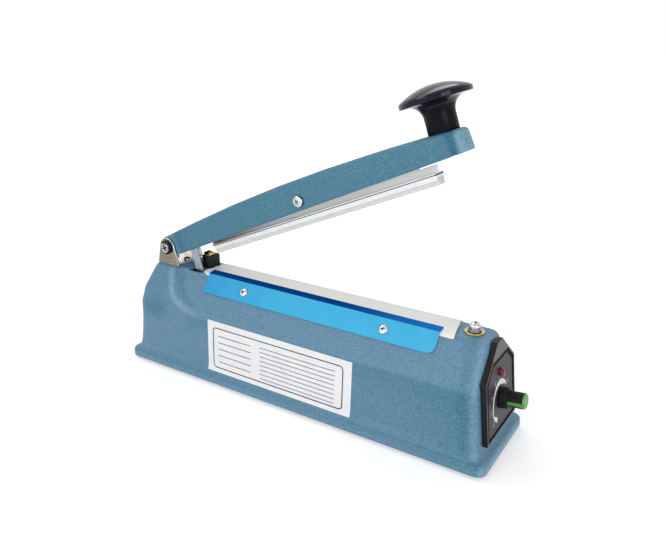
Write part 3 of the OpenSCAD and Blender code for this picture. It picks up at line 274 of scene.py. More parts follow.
def clamp_paint():
    """Blue lacquer on bent sheet aluminium: a bright satin face, a little darker to the rear, and a matt
    top flange painted deep navy that lightens towards its front end, a painted dark reflection. Places
    are in metres."""
    BEND, FACE_DARKER, FLANGE_LIGHT = (0.0861, 0.0864), (-0.09, -0.02), (0.02, 0.115)
    made, tree, shader, place = new_finish("blue_lacquer", {})
    spot = add(tree, "ShaderNodeSeparateXYZ", {}, {0: place}).outputs
    flange = span(tree, spot[2], *BEND)
    mottle = clouds(tree, place, 9, 3.0)
    rear = blend(tree, mottle, "#228ec7", "#309fd4")
    fore = blend(tree, mottle, "#2ca4d4", "#3fb2de")
    face = blend(tree, span(tree, spot[0], *FACE_DARKER), rear, fore)
    # Painted dark reflection on the top flange, lightening towards its front end
    edge = blend(tree, span(tree, spot[0], *FLANGE_LIGHT, curve="SMOOTHSTEP"), "#053f84", "#1e70c2")
    plug(tree, shader, {"Base Color": blend(tree, flange, face, edge),
                        "Roughness": span(tree, mottle, 0, 1, 0.28, 0.38),
                        "Specular IOR Level": span(tree, flange, 0, 1, 0.3, 0.0)})
    return made


def warmed_aluminium():
    """Drawn aluminium with a white anodised skin: pale satin, streaked along, with a brown painted shade
    and reflection towards the hinge. Places are in metres."""
    SHADE_REACH = (-0.1, -0.03)
    made, tree, shader, place = new_finish("warmed_aluminium", {"Metallic": 0.05, "Roughness": 0.36})
    streak = clouds(tree, drawn_out(tree, place, (0.06, 1, 1)), 1.6, 4.0)
    ahead = add(tree, "ShaderNodeSeparateXYZ", {}, {0: place}).outputs[0]
    pale = blend(tree, streak, "#eeeeee", "#fbfbfb")
    brown_shade = blend(tree, streak, "#a8937a", "#c4b29c")
    # Painted brown shade and reflection towards the hinge, fading out ahead of it
    clear_of_shade = span(tree, ahead, *SHADE_REACH, curve="SMOOTHSTEP")
    plug(tree, shader, {"Base Color": blend(tree, clear_of_shade, brown_shade, pale)})
    return made


# The last two colours of each enamel are its painted shade and its painted highlight
BLUE = hammer_enamel("hammer_enamel_blue", "#658ba8", "#5f88a0", 0.6, 0.07, "#457c93", "#86a6be")
TEAL = hammer_enamel("hammer_enamel_teal", "#4c8098", "#467c92", 0.8, 0.1, "#2f6683", "#84a9c0")
CLOTH = glass_cloth()
LACQUER = clamp_paint()
CARRIER = warmed_aluminium()
METAL = {"Metallic": 1.0}
# Nickel plate on rolled sheet: a warm grey, faintly streaked by the rolls
NICKEL = grained("nickel_plate", "#918c7b", "#726e60", 1.6, (0.26, 0.36), 0.0, (0.12, 1, 1), METAL)
# Bright smooth nickel: a painted highlight on the bracket's edges and floor, and painted light on the far
# ear
EAR_HIGHLIGHT = grained("nickel_painted_highlight", "#f1eee6", "#dcd8cd", 3.0, (0.16, 0.22), sockets=METAL)
# Chrome with painted reflections: bright and dark patches a millimetre wide
CHROME = grained("chrome_painted_reflection", "#d6dce0", "#4c5256", 1.6, (0.14, 0.24), sockets=METAL)
# Zinc plate on steel: bluish grey, a little cloudy
ZINC = grained("zinc_plate", "#a5adb9", "#7f8997", 2.5, (0.28, 0.42), 0.01, sockets=METAL)
# Polished screw steel: bright, with small clouds
SCREW = grained("screw_steel", "#d9dadb", "#b4b6b8", 1.2, (0.15, 0.26), sockets=METAL)
# Dark steel for painted shade in screw recesses and a painted shadow round screw heads: dark grey, oiled
SHADE_STEEL = grained("steel_painted_shade", "#303133", "#18191a", 0.8, (0.3, 0.45), 0.01, sockets=METAL)
# Drawn aluminium with a white anodised skin: pale satin, streaked along its length
ALUMINIUM = grained("white_anodised_aluminium", "#f4f4f5", "#e6e6e8", 1.6, (0.32, 0.42), 0.004,
                    (0.06, 1, 1), {"Metallic": 0.05})
# Silicone rubber: milky, soft and slightly clear
SILICONE = grained("silicone_rubber", "#dcdbd8", "#cfcecb", 4.0, (0.42, 0.55), 0.01,
                   sockets={"Subsurface Weight": 0.35, "Subsurface Radius": (0.004, 0.004, 0.0035),
                            "Subsurface Scale": 0.5, "IOR": 1.41})
# Polished phenolic: near black with a violet cast and a deep gloss
PHENOLIC = grained("polished_phenolic", "#191924", "#12121b", 12.0, (0.1, 0.14),
                   sockets={"IOR": 1.5, "Specular IOR Level": 0.24, "Specular Tint": linear("#cfc8e6")})
# The same phenolic as it came from the mould, on the stem: blacker, with less gloss
MOULDED = grained("moulded_phenolic", "#0f1118", "#0a0b10", 6.0, (0.24, 0.34),
                  sockets={"IOR": 1.5, "Specular IOR Level": 0.08})
# Moulded black ABS: dull sheen with a fine spark texture
BLACK_ABS = grained("moulded_black_abs", "#131417", "#0b0c0e", 0.9, (0.38, 0.55), 0.02,
                    sockets={"IOR": 1.5, "Specular IOR Level": 0.2})
# Moulded rubber: black, dry, with a slight bloom
RUBBER = grained("moulded_rubber", "#2a2a2b", "#1c1c1d", 1.8, (0.7, 0.85), 0.03)
# Yellow brass, stamped: warm, a little tarnished
BRASS = grained("stamped_brass", "#dcc98c", "#bfa866", 2.0, (0.24, 0.4), 0.01, sockets=METAL)
# Brushed foil on the timer panel: dark warm grey with upright strokes, drawn coarser than real ones to show
FOIL = grained("brushed_dark_foil", "#4b494c", "#29282c", 1.1, (0.42, 0.54), 0.01, (1, 1, 0.08),
               {"Metallic": 0.1, "Specular IOR Level": 0.2})
# Brushed rim of the panel: browner and lighter than the foil
RIM = grained("brushed_brown_rim", "#676263", "#34302f", 1.1, (0.4, 0.52), 0.01, (1, 1, 0.1),
              {"Metallic": 0.15})
# White screen ink: flat and dense
INK = grained("white_screen_ink", "#f2f2f2", "#dcdcde", 1.0, (0.5, 0.6))
# Black printing ink: dense, with hardly any gloss
PRINT = grained("black_print_ink", "#161618", "#0e0e10", 1.0, (0.55, 0.65),
                sockets={"Specular IOR Level": 0.05})
# Paper-faced vinyl: white with a faint cool cloud and a soft sheen
VINYL = grained("white_vinyl", "#ebebed", "#e3e3e6", 14.0, (0.4, 0.5), 0.01)
# Red acrylic lamp lens: a deep colour, smooth and slightly clear
LENS = grained("red_acrylic", "#74101c", "#560a14", 3.0, (0.2, 0.28),
               sockets={"IOR": 1.49, "Subsurface Weight": 0.3, "Subsurface Radius": (0.004, 0.0005, 0.0005),
                        "Subsurface Scale": 0.6, "Specular IOR Level": 0.3})
# Green ABS insert of the timer knob: even, with a soft gloss
GREEN = grained("moulded_green_abs", "#549d3a", "#42872d", 1.5, (0.3, 0.42), 0.01, sockets={"IOR": 1.5})
# Inner pieces: green glass-epoxy board, grey varnished core plates, glossy enamelled wire, dry mica
BOARD = grained("glass_epoxy_board", "#3a7a48", "#2a5f38", 3.0, (0.35, 0.5), 0.01)
CORE = grained("varnished_core_steel", "#6a6d71", "#505357", 0.7, (0.4, 0.55), 0.03, (1, 0.05, 0.05),
               {"Metallic": 0.7})
COPPER = grained("enamelled_copper_wire", "#c07a3c", "#8f5426", 0.8, (0.25, 0.4), 0.08, (0.1, 0.1, 1),
                 {"Metallic": 0.8})
MICA = grained("pressed_mica", "#cfc5aa", "#b8ad90", 2.5, (0.5, 0.65), 0.02)


# Making pieces

def settle(obj, modifiers=()):
    """Runs modifiers, given as kinds with their settings, and keeps what they make as the mesh."""
    for kind, settings in modifiers:
        made = obj.modifiers.new(kind.lower(), kind)
        for key, value in settings.items():
            setattr(made, key, value)
    seen = obj.evaluated_get(bpy.context.evaluated_depsgraph_get())
    obj.data = bpy.data.meshes.new_from_object(seen)
    obj.modifiers.clear()
    return obj


def raw_object(bm, name, place=None):
    """The bmesh as an object at the origin, with its place in its mesh."""
    if place is not None:
        bmesh.ops.transform(bm, matrix=place, verts=bm.verts)
    mesh = bpy.data.meshes.new(name)
    bm.to_mesh(mesh)
    bm.free()
    obj = bpy.data.objects.new(name, mesh)
    bpy.context.scene.collection.objects.link(obj)
    return obj


def dress(obj, finish, body, nodes=(), crease=35):
    """Shades a piece, gives it its finish, sets what it rides on, and hides the CAD nodes that it stands
    for.
    """
    mesh = obj.data
    if not mesh.materials:
        mesh.materials.append(finish)
    mesh.shade_smooth()
    mesh.set_sharp_from_angle(angle=math.radians(crease))
    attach(obj, body)
    if nodes:
        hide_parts(*nodes)
    return obj


def solid_copy(node):
    """A merged copy of a CAD node's loose triangles."""
    bm = bmesh.new()
    bm.from_mesh(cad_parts[node].data)
    bmesh.ops.remove_doubles(bm, verts=bm.verts, dist=1e-6)
    return bm


def soften_edges(bm, edge, segments, least=30):
    """Joins a solid's flat triangles and rounds its edges by some millimetres."""
    bmesh.ops.dissolve_limit(bm, angle_limit=math.radians(0.5), verts=bm.verts, edges=bm.edges)
    sharp = [e for e in bm.edges
             if len(e.link_faces) == 2 and e.calc_face_angle() > math.radians(least)]
    bmesh.ops.bevel(bm, geom=sharp, offset=edge * MM, offset_type="OFFSET", affect="EDGES",
                    segments=segments, profile=0.5, material=-1, clamp_overlap=False)


def softened(node, name, edge, finish, body, segments=2):
    """A CAD piece with its edges rounded as the real one's are."""
    bm = solid_copy(node)
    soften_edges(bm, edge, segments)
    obj = raw_object(bm, name)
    dress(obj, finish, body, [node])
    weighted = obj.modifiers.new("weighted", "WEIGHTED_NORMAL")
    weighted.keep_sharp = True
    return obj


def turned(profile, steps=48):
    """A solid of revolution about Z from points of radius and height, in millimetres."""
    bm = bmesh.new()
    points = [bm.verts.new((r, 0, z)) for r, z in profile]
    edges = [bm.edges.new(pair) for pair in zip(points, points[1:])]
    bmesh.ops.spin(bm, geom=points + edges, cent=(0, 0, 0), axis=(0, 0, 1), angle=math.tau, steps=steps,
                   use_merge=True, use_normal_flip=False, use_duplicate=False)
    bmesh.ops.remove_doubles(bm, verts=bm.verts, dist=1e-4)
    bmesh.ops.recalc_face_normals(bm, faces=bm.faces)
    return bm


def arc(cx, cz, r, start, end, steps):
    """Points on an arc of a profile, angles in degrees."""
    angles = [math.radians(start + (end - start) * k / steps) for k in range(steps + 1)]
    return [(cx + r * math.cos(a), cz + r * math.sin(a)) for a in angles]


def cross_screw(name, head_r, head_h, shank_r, shank_l, places, body, finish, node, shadow_rim=2.0,
                recess_finish=SHADE_STEEL):
    """Pan-head screws with a cross recess, seats at Z = 0 of their places and heads up. The recess gets its
    own finish, dark steel as painted shade unless another is given. Faces farther out than the shadow
    rim, as a share of the head, get dark steel as a painted shadow round the head."""
    rim = head_h * 0.42
    dome = [(head_r * math.sin(a), rim + (head_h - rim) * math.cos(a))
            for a in [math.radians(15 * k) for k in range(7)]]
    profile = [(0, head_h)] + dome[1:] + [(head_r * 0.96, 0), (shank_r, 0), (shank_r, 0.3 - shank_l),
                                         (shank_r - 0.3, -shank_l), (0, -shank_l)]
    head = raw_object(turned(profile, 32), name + "_head")
    head.data.materials.append(finish)
    for angle in (20, 110):
        cutter = bmesh.new()
        wing = bmesh.ops.create_cube(cutter, size=1)["verts"]
        bmesh.ops.scale(cutter, vec=(head_r * 1.2, head_r * 0.26, head_h), verts=wing)
        bmesh.ops.scale(cutter, vec=(0.45, 0.7, 1), verts=[v for v in wing if v.co.z < 0])
        recess = raw_object(cutter, name + "_recess", at(0, 0, head_h * 0.92) @ turn(angle, "Z"))
        recess.data.materials.append(recess_finish)
        settle(head, [("BOOLEAN", {"object": recess, "operation": "DIFFERENCE", "solver": "EXACT",
                                   "material_mode": "TRANSFER"})])
        bpy.data.objects.remove(recess)
    if shadow_rim < 1:
        head.data.materials.append(SHADE_STEEL)
    for face in head.data.polygons:
        if math.hypot(face.center.x, face.center.y) > shadow_rim * head_r:
            face.material_index = 2
    bm = bmesh.new()
    for place in places:
        before = set(bm.verts)
        bm.from_mesh(head.data)
        bmesh.ops.transform(bm, matrix=place, verts=[v for v in bm.verts if v not in before])
    obj = raw_object(bm, name)
    for kept in head.data.materials:
        obj.data.materials.append(kept)
    bpy.data.objects.remove(head)
    return dress(obj, finish, body, [node], crease=40)


def second_finish(obj, finish, chosen):
    """Gives a second finish to the chosen faces."""
    obj.data.materials.append(finish)
    for face in obj.data.polygons:
        if chosen(face):
            face.material_index = 1


def plain_finish(node, finish):
    """A CAD node that stays in view gets its finish."""
    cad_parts[node].material_slots[0].material = finish


# Castings: remeshed and eased, so that corners and joins run together as poured metal does

def weigh(obj, name, share):
    """A vertex group whose weights come from a function of the place in millimetres."""
    group = obj.vertex_groups.new(name=name)
    for v in obj.data.vertices:
        group.add([v.index], unit(share(v.co / MM)), "REPLACE")
    return {"vertex_group": name}


def near_path(along, high, path):
    """How far a point seen from the side is from a path of straight runs, in millimetres."""
    spot = Vector((along, high))
    best = 1e9
    for a, b in zip(path, path[1:]):
        run = Vector(b) - Vector(a)
        share = unit((spot - Vector(a)).dot(run) / run.length_squared)
        best = min(best, (spot - Vector(a) - run * share).length)
    return best


def hump(distance, width):
    """A smooth rise that is 1 at no distance and falls away over a width."""
    return math.exp(-(distance / width) ** 2)


def cast_skin(node, name, voxel, passes, finish, body, eased, relief, painted_light, kept=1.0):
    """A casting's skin: remeshed at a voxel in millimetres, eased by weight, raised by its relief, thinned
    to the share of faces that is kept, and marked with where painted shade and painted highlight go."""
    obj = raw_object(solid_copy(node), name)
    settle(obj, [("REMESH", {"mode": "VOXEL", "voxel_size": voxel * MM})])
    settle(obj, [("SMOOTH", {"factor": 0.5, "iterations": passes} | weigh(obj, "eased", eased))])
    obj.vertex_groups.clear()
    moved = [v.co + relief(v.co / MM, v.normal) * MM for v in obj.data.vertices]
    for v, place in zip(obj.data.vertices, moved):
        v.co = place
    if kept < 1:
        settle(obj, [("DECIMATE", {"ratio": kept})])
    marks = [painted_light(v.co / MM) for v in obj.data.vertices]
    for k, mark in enumerate(LIGHT_MARKS):
        held = obj.data.attributes.new(mark, "FLOAT", "POINT")
        held.data.foreach_set("value", [unit(m[k]) for m in marks])
    return dress(obj, finish, body, [node], crease=60)


# The rear block's ridge, which runs down its side and bends into the crease, and the hollow in front of it:
# points along and up, the moves of the skin there, and half widths
RIDGE = ((6.4, 81), (12.9, 72), (18.3, 64), (21.8, 60.2), (27.8, 57.2), (44, 53.4))
HOLLOW = ((15.7, 79), (18.6, 70.5), (24.5, 64), (29.6, 60.5), (38.5, 57.5))
RIDGE_UP, RIDGE_W = 0.9, 3.0
HOLLOW_DOWN, HOLLOW_W = 0.6, 3.5
RIDGE_FOOT = 46
BLOCK_REACH = 60
# The rear corner's fullness, where it is greatest and how fast it fades
FULL_OUT, FULL_AT, FULL_W = 1.3, 55, 12
# How much the skin is eased at the least, where the block joins the side, and round the rear corner
EASE_LEAST, EASE_JOIN, EASE_REAR = 0.08, 0.6, 0.7
NECK_AT = ARM_L + 5


def side_place(point):
    """How far along and how high a point of the housing is, in the part's own millimetres."""
    return point.x + FRAME_X, point.z - FOOT_H


def housing_ease(point):
    """How much the housing's skin is eased: most where the rear block runs into the side and round the rear
    corner, little elsewhere, and not at all under the hinge or at the rim it stands on."""
    along, high = side_place(point)
    aside = abs(point.y)
    join = EASE_JOIN * min(rise(along, 10, 20), rise(along, 56, 44), rise(high, 40, 48),
                           rise(aside, 13.5, 16.5))
    clear_of_hinge = max(rise(aside, 16, 19), rise(along, -11, -14))
    rear = min(EASE_REAR, rise(along, 20, 10), rise(high, 14, 24), clear_of_hinge)
    return min(max(EASE_LEAST, join, rear), rise(high, 1, 3))


def housing_relief(point, normal):
    """Moves of the housing's skin in millimetres: the ridge up, the hollow down, the rear corner fuller."""
    along, high = side_place(point)
    under_hinge = abs(point.y) < 16.5 and along > -11
    if along > BLOCK_REACH or high < 25 or under_hinge:
        return Vector()
    lift = 0.0
    if high > RIDGE_FOOT:
        lift = RIDGE_UP * hump(near_path(along, high, RIDGE), RIDGE_W)
        lift -= HOLLOW_DOWN * hump(near_path(along, high, HOLLOW), HOLLOW_W)
        lift *= ramp(along, 56, 36)
    full = FULL_OUT * hump(high - FULL_AT, FULL_W) * ramp(along, 6, -8) * (1 - abs(normal.z))
    return normal * (lift + full)


def block_paint(point, along, high):
    """How much painted shade the rear block gets, at the corner and in the hollow, and how much painted
    highlight its ridge gets."""
    # Painted shade at the rear corner
    painted_shade = 0.3 * ramp(along, 14, 4) * ramp(high, 36, 48)
    painted_shade += 0.55 * hump(math.dist((along / 14, high / 8), (0, 50 / 8)), 1.0)
    if abs(point.y) <= 15 or high <= RIDGE_FOOT:
        return painted_shade, 0.0
    fade = ramp(along, 50, 34)
    # Painted shade in the hollow, and a painted highlight along the ridge
    painted_shade += 0.6 * fade * hump(near_path(along, high, HOLLOW), 3.2)
    ridge = fade * hump(near_path(along, high, RIDGE), 2.4)
    return painted_shade * (1 - ridge), 0.75 * ridge


def housing_paint(point):
    """How much painted shade the housing gets, under the crease, at the foot and behind the front corner,
    and how much painted highlight, on the bead and at that corner."""
    along, high = side_place(point)
    crease = 51.5 + 4.5 * ramp(along, 90, 220)
    below = crease + 1 - high
    deep = 9 + 16 * ramp(along, 180, 270)
    # Painted shade under the crease, reaching lower towards the front
    crease_shade = 0.42 * ramp(below, 0, 3) * hump(max(0, below - 3), deep) * ramp(along, 30, 40)
    bead = ramp(along, FRONT_WALL_X, FRONT_WALL_X + 2)
    # Painted shade below the crease towards the front end, clear of the front bead
    front = 0.27 * ramp(along, 225, 270) * ramp(below, -2, 6) * (1 - bead)
    # Painted shade also lies in the groove above the foot's bead
    painted_shade = crease_shade + front + 0.45 * hump(high - 6.5, 2.5)
    # Painted highlight along the foot's bead and on the front bead
    highlight = 0.25 * hump(high - 3, 1.6) + 0.6 * bead * hump(high - 4, 4)
    if along < BLOCK_REACH:
        block = block_paint(point, along, high)
        painted_shade += block[0]
        highlight += block[1]
    if high > 10:
        # Painted shade behind the front corner, and a painted highlight along it
        behind = FRONT_WALL_X - math.tan(math.radians(END_ANGLE)) * high - along
        painted_shade += 0.4 * hump(behind - 10, 4)
        highlight += 0.45 * hump(behind - 3, 2.5)
    return painted_shade, highlight


def arm_paint(point):
    """How much painted shade the arm gets, in the neck and towards the hinge, and how much painted
    highlight at its ends."""
    along = (ARM.inverted() @ (point * MM)).x
    # Painted shade in the neck and just ahead of the hinge, fading in towards the hinge
    painted_shade = hump(along - NECK_AT + 0.5, 3.4) + 0.5 * hump(along - 15, 4) + 0.18 * ramp(along, 120, 60)
    # Painted highlight over the head's end and near the rear end
    return painted_shade, 0.8 * ramp(along, NECK_AT + 1.5, NECK_AT + 4.5) + 0.35 * hump(along - 6, 4)


housing = cast_skin("body_casting", "housing_skin", 1.0, 60, BLUE, "housing", housing_ease,
                    housing_relief, housing_paint, 0.45)
cast_skin("arm_casting", "arm_skin", 0.8, 3, TEAL, "arm", lambda point: 1,
          lambda point, normal: Vector(), arm_paint)

# Sheet-metal, moulded and drawn pieces with their edges rounded
ears = softened("hinge_bracket", "hinge_ears", 0.45, NICKEL, "housing")
# The bracket's edges and floor and the whole far ear get the painted highlight
second_finish(ears, EAR_HIGHLIGHT, lambda face: abs(face.normal.y) < 0.8 or face.center.y > 0)
softened("clamp_plate", "clamp_strip", 0.25, LACQUER, "housing")
softened("press_bar", "press_carrier", 0.3, CARRIER, "bar")
softened("strip_holder", "strip_channel", 0.2, ALUMINIUM, "bar")
softened("silicone_strip", "soft_strip", 0.35, SILICONE, "bar")
softened("lift_link", "link_strap", 0.3, ZINC, "link")
softened("rear_terminal_block", "terminal_body", 0.35, BLACK_ABS, "housing")
softened("rear_terminal", "terminal_clip", 0.15, BRASS, "housing")
softened("timer_knob", "dial_knob", 0.12, BLACK_ABS, "timer")
softened("timer_pointer", "dial_insert", 0.15, GREEN, "timer")
softened("panel_plate", "panel_foil", 0.08, FOIL, "housing")
softened("pivot_nut", "hinge_nut", 0.25, ZINC, "housing")
softened("press_bar_nut", "rocker_nut", 0.2, ZINC, "arm")
softened("bar_spacers", "rocker_spacers", 0.12, BRASS, "arm")
softened("link_pin", "link_stud", 0.2, ZINC, "arm")
softened("rubber_feet", "foot_pads", 0.4, RUBBER, "housing")
softened("cord_gland", "cord_sleeve", 0.35, RUBBER, "housing")
softened("base_plate", "bottom_sheet", 0.25, ZINC, "housing")

bezel = softened("panel_bezel", "panel_frame", 0.35, BLACK_ABS, "housing")
outward = (PANEL.to_3x3() @ Vector((0, 0, 1))).normalized()
second_finish(bezel, RIM, lambda face: face.normal.dot(outward) > 0.98)

# Pieces inside the housing keep their CAD shape
for node, finish in {"microswitch": BLACK_ABS, "microswitch_lever": SCREW, "switch_bracket": ZINC,
                     "spring_seat": BLACK_ABS, "bed_insulator": MICA, "heating_band": ZINC,
                     "timer_shaft": SCREW, "potentiometer": ZINC, "timer_board": BOARD,
                     "board_posts": BRASS, "transformer_core": CORE, "transformer_coil": COPPER}.items():
    plain_finish(node, finish)

# Screws: radius and height of the head, radius and length of the shank, in millimetres
hinge_axis = STAND @ at(0, -EAR_OUT, PIVOT_H) @ NEAR_FACING
# The hinge bolt's and the rocker bolt's last number is where a painted shadow ring round the head starts,
# as a share of its radius
cross_screw("hinge_bolt", 6.0, 3, 3, 37.3, [hinge_axis], "housing", CHROME, "pivot_bolt",
            0.78)
cross_screw("rocker_bolt", 4.3, 2.6, 2, 30.5, [BAR @ at(0, -ARM_HW, 0) @ NEAR_FACING], "arm", SCREW,
            "press_bar_bolt", 0.95, ZINC)
cross_screw("clamp_pair", 3.4, 1.8, 1.5, 7.2,
            [SHOULDER @ at(CLAMP_X0 + x, -8, CLAMP_STACK) for x in (40, CLAMP_L - 40)], "housing", SCREW,
            "clamp_screws")
cross_screw("bed_screw", 4, 4.2, 2, 11.1, [STAND @ at(FRONT_SCREW_X, 0, BODY_H + 3.1)], "housing", SCREW,
            "front_screw")
cross_screw("clip_screw", 2.3, 1.8, 1.5, 16.7, [STAND @ at(*TERMINAL)], "housing", BRASS,
            "terminal_screw")
cross_screw("ear_screws", 3, 1.8, 1.5, 7.8,
            [STAND @ at(x, 0, BODY_H + 1.8) for x in (-6.15, 6.85)], "housing", ZINC,
            "bracket_screws")
cross_screw("knob_screw", 5, 2.6, 3, 23, [HEAD @ at(0, 0, -9) @ turn(180, "X")], "arm", ZINC,
            "handle_screw")
foot_x = (REAR_WALL_X + 7.2, FRONT_WALL_X - 7.2)
cross_screw("foot_screws", 3.4, 1.1, 1.5, 12.6,
            [STAND @ at(x, y, -1) @ turn(180, "X") for x in foot_x for y in (-29.05, 29.05)], "housing",
            ZINC, "base_screws")

# Mushroom knob, turned from one profile: straight stem, hollow flare, rounded rim and a low dome
KNOB_R, RIM_R, RIM_LOW, RIM_TOP, DOME_H = 23.5, 0.8, 19.8, 23.3, 6.8
STEM_R, FLARE_R = 10.2, 9.0
BORE_R, BORE_H = 3.02, 15
dome_r = (KNOB_R ** 2 + DOME_H ** 2) / (2 * DOME_H)
dome_end = math.degrees(math.asin((KNOB_R - RIM_R) / dome_r))
stem = ([(0, BORE_H), (BORE_R, BORE_H), (BORE_R, 0), (STEM_R - 0.2, 0), (STEM_R, 0.3)]
        + arc(STEM_R + FLARE_R, RIM_LOW - FLARE_R, FLARE_R, 180, 96, 12))
rim = (arc(KNOB_R - RIM_R, RIM_LOW + RIM_R, RIM_R, -90, 0, 5)
       + arc(KNOB_R - RIM_R, RIM_TOP - RIM_R, RIM_R, 0, 60, 5))
dome = arc(0, RIM_TOP + DOME_H - dome_r, dome_r, 90 - dome_end, 90, 16)
handle = raw_object(turned(stem + rim + dome, 128), "mushroom_knob", HEAD)
dress(handle, PHENOLIC, "arm", ["handle_knob"], crease=50)
second_finish(handle, MOULDED, lambda face: (HEAD.inverted() @ face.center).z < RIM_LOW - 3.5)

# Washers under the front screw: a flat brass one and a split spring washer
bed_seat = STAND @ at(FRONT_SCREW_X, 0, BODY_H)
WASHER_R, WASHER_BORE, WASHER_T, WASHER_EDGE = 6.8, 2.2, 1.1, 0.3
flat = turned([(WASHER_BORE, 0), (WASHER_R - WASHER_EDGE, 0), (WASHER_R, WASHER_EDGE),
               (WASHER_R, WASHER_T - WASHER_EDGE), (WASHER_R - WASHER_EDGE, WASHER_T),
               (WASHER_BORE + 0.2, WASHER_T), (WASHER_BORE, WASHER_T - 0.2), (WASHER_BORE, 0)], 64)
dress(raw_object(flat, "flat_washer", bed_seat), BRASS, "housing", ["front_washers"])
SPLIT_R, SPLIT_W, SPLIT_T, SPLIT_RISE, SPLIT_TURN, SPLIT_STEPS = 3.55, 2.6, 1.4, 0.5, 352, 44
split = bmesh.new()
bmesh.ops.create_grid(split, x_segments=1, y_segments=1, size=0.5)
bmesh.ops.scale(split, vec=(SPLIT_W, SPLIT_T, 1), verts=split.verts)
bmesh.ops.rotate(split, matrix=Matrix.Rotation(math.radians(90), 3, "X"), verts=split.verts)
bmesh.ops.translate(split, vec=(SPLIT_R, 0, WASHER_T + 0.75), verts=split.verts)
bmesh.ops.spin(split, geom=split.verts[:] + split.edges[:] + split.faces[:], cent=(0, 0, 0),
               axis=(0, 0, 1), dvec=(0, 0, SPLIT_RISE / SPLIT_STEPS), angle=math.radians(SPLIT_TURN),
               steps=SPLIT_STEPS, use_merge=False)
bmesh.ops.holes_fill(split, edges=split.edges, sides=4)
bmesh.ops.recalc_face_normals(split, faces=split.faces)
dress(raw_object(split, "split_washer", bed_seat), ZINC, "housing")

# Lamp: a domed lens that stands out of its hole
LENS_R, LENS_SIDE, DOME_RISE = 2.85, 0.6, 2.5
lens = turned([(0, -5), (LENS_R, -5)]
              + [(LENS_R * math.cos(a), PANEL_FACE + LENS_SIDE + DOME_RISE * math.sin(a))
                 for a in [math.radians(9 * k) for k in range(11)]], 48)
dress(raw_object(lens, "lamp_lens", PANEL @ at(0, LAMP_H, 0)), LENS, "housing",
      ["indicator_lamp"])

# Black ring on the panel's foil, a painted shadow of the frame's rim and its shaded inner wall, broader on
# the near side
LINE_AIM, LINE_OUT, LINE_IN = Vector((17, 14)), 0.995, 0.915
corners = [PANEL.inverted() @ v.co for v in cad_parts["panel_plate"].data.vertices]
front = max(p.z for p in corners)
spots = [p.to_2d() for p in corners if p.z > front - 0.05]
outline = [spots[k] for k in convex_hull_2d(spots)]
line = bmesh.new()
rings = [[line.verts.new((*(LINE_AIM + (p - LINE_AIM) * share), front + 0.03)) for p in outline]
         for share in (LINE_OUT, LINE_IN)]
for k in range(len(outline)):
    line.faces.new((rings[0][k - 1], rings[0][k], rings[1][k], rings[1][k - 1]))
bmesh.ops.recalc_face_normals(line, faces=line.faces)
dress(raw_object(line, "foil_shadow_line", PANEL), PRINT, "housing")

# Skirt of the timer knob: a thin ring that hides the nut
SKIRT_R, SKIRT_BORE, SKIRT_L, SKIRT_EDGE = 7.5, 5.6, 2.4, 0.2
skirt_foot = PANEL_FACE + 0.4
skirt = turned([(SKIRT_BORE, skirt_foot), (SKIRT_R - SKIRT_EDGE, skirt_foot),
                (SKIRT_R, skirt_foot + SKIRT_EDGE), (SKIRT_R, PANEL_FACE + SKIRT_L),
                (SKIRT_BORE, PANEL_FACE + SKIRT_L), (SKIRT_BORE, skirt_foot)], 64)
dress(raw_object(skirt, "knob_skirt", PANEL @ at(0, TIMER_H, 0)), BLACK_ABS, "timer")

# Dark rubber strip between the carrier's flange and the holder, a painted shadow in the seam, thicker
# across the front end
SEAM_PROUD, SEAM_H, SEAM_END_H = 0.06, 0.6, 0.9
seam = bmesh.new()
for x0, x1, height in ((-BAR_BACK, BAR_FRONT, SEAM_H), (BAR_FRONT - 0.3, BAR_FRONT, SEAM_END_H)):
    block = bmesh.ops.create_cube(seam, size=1)["verts"]
    bmesh.ops.scale(seam, vec=(x1 - x0 + 2 * SEAM_PROUD, 2 * (HOLDER_HW + SEAM_PROUD), height),
                    verts=block)
    bmesh.ops.translate(seam, vec=((x0 + x1) / 2, 0, HOLDER_TOP), verts=block)
dress(raw_object(seam, "seam_shadow_line", BAR), RUBBER, "bar")

# Return spring: round wire on a helix. Its top leans half as far as the link swings, so that the coils
# clear the link at both ends of the stroke.
SPRING_R, WIRE_R, TURNS, STEPS = 4.6, 0.7, 8, 28
SPRING_FOOT = 10.5
SPRING_TOP = 50.0
SPRING_LEAN = 0.43
SPRING_PLAY = 0.02
spring_rise = SPRING_TOP - SPRING_FOOT - 2 * WIRE_R - 2 * SPRING_PLAY
wire = bmesh.new()
bmesh.ops.create_circle(wire, cap_ends=True, radius=WIRE_R, segments=10)
bmesh.ops.rotate(wire, matrix=Matrix.Rotation(math.radians(90), 3, "X"), verts=wire.verts)
bmesh.ops.translate(wire, vec=(SPRING_R, 0, SPRING_FOOT + WIRE_R + SPRING_PLAY), verts=wire.verts)
bmesh.ops.spin(wire, geom=wire.verts[:] + wire.edges[:] + wire.faces[:], cent=(0, 0, 0), axis=(0, 0, 1),
               dvec=(0, 0, spring_rise / (TURNS * STEPS)), angle=math.tau * TURNS, steps=TURNS * STEPS,
               use_merge=False)
bmesh.ops.holes_fill(wire, edges=wire.edges, sides=12)
for v in wire.verts:
    v.co.x += SPRING_LEAN * min(1, (v.co.z - SPRING_FOOT) / (0.8 * spring_rise))
bmesh.ops.recalc_face_normals(wire, faces=wire.faces)
coil = raw_object(wire, "lift_spring", STAND @ at(LINK_FOOT_X, 0, 0))
dress(coil, SCREW, "housing", ["return_spring"])
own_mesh(coil)

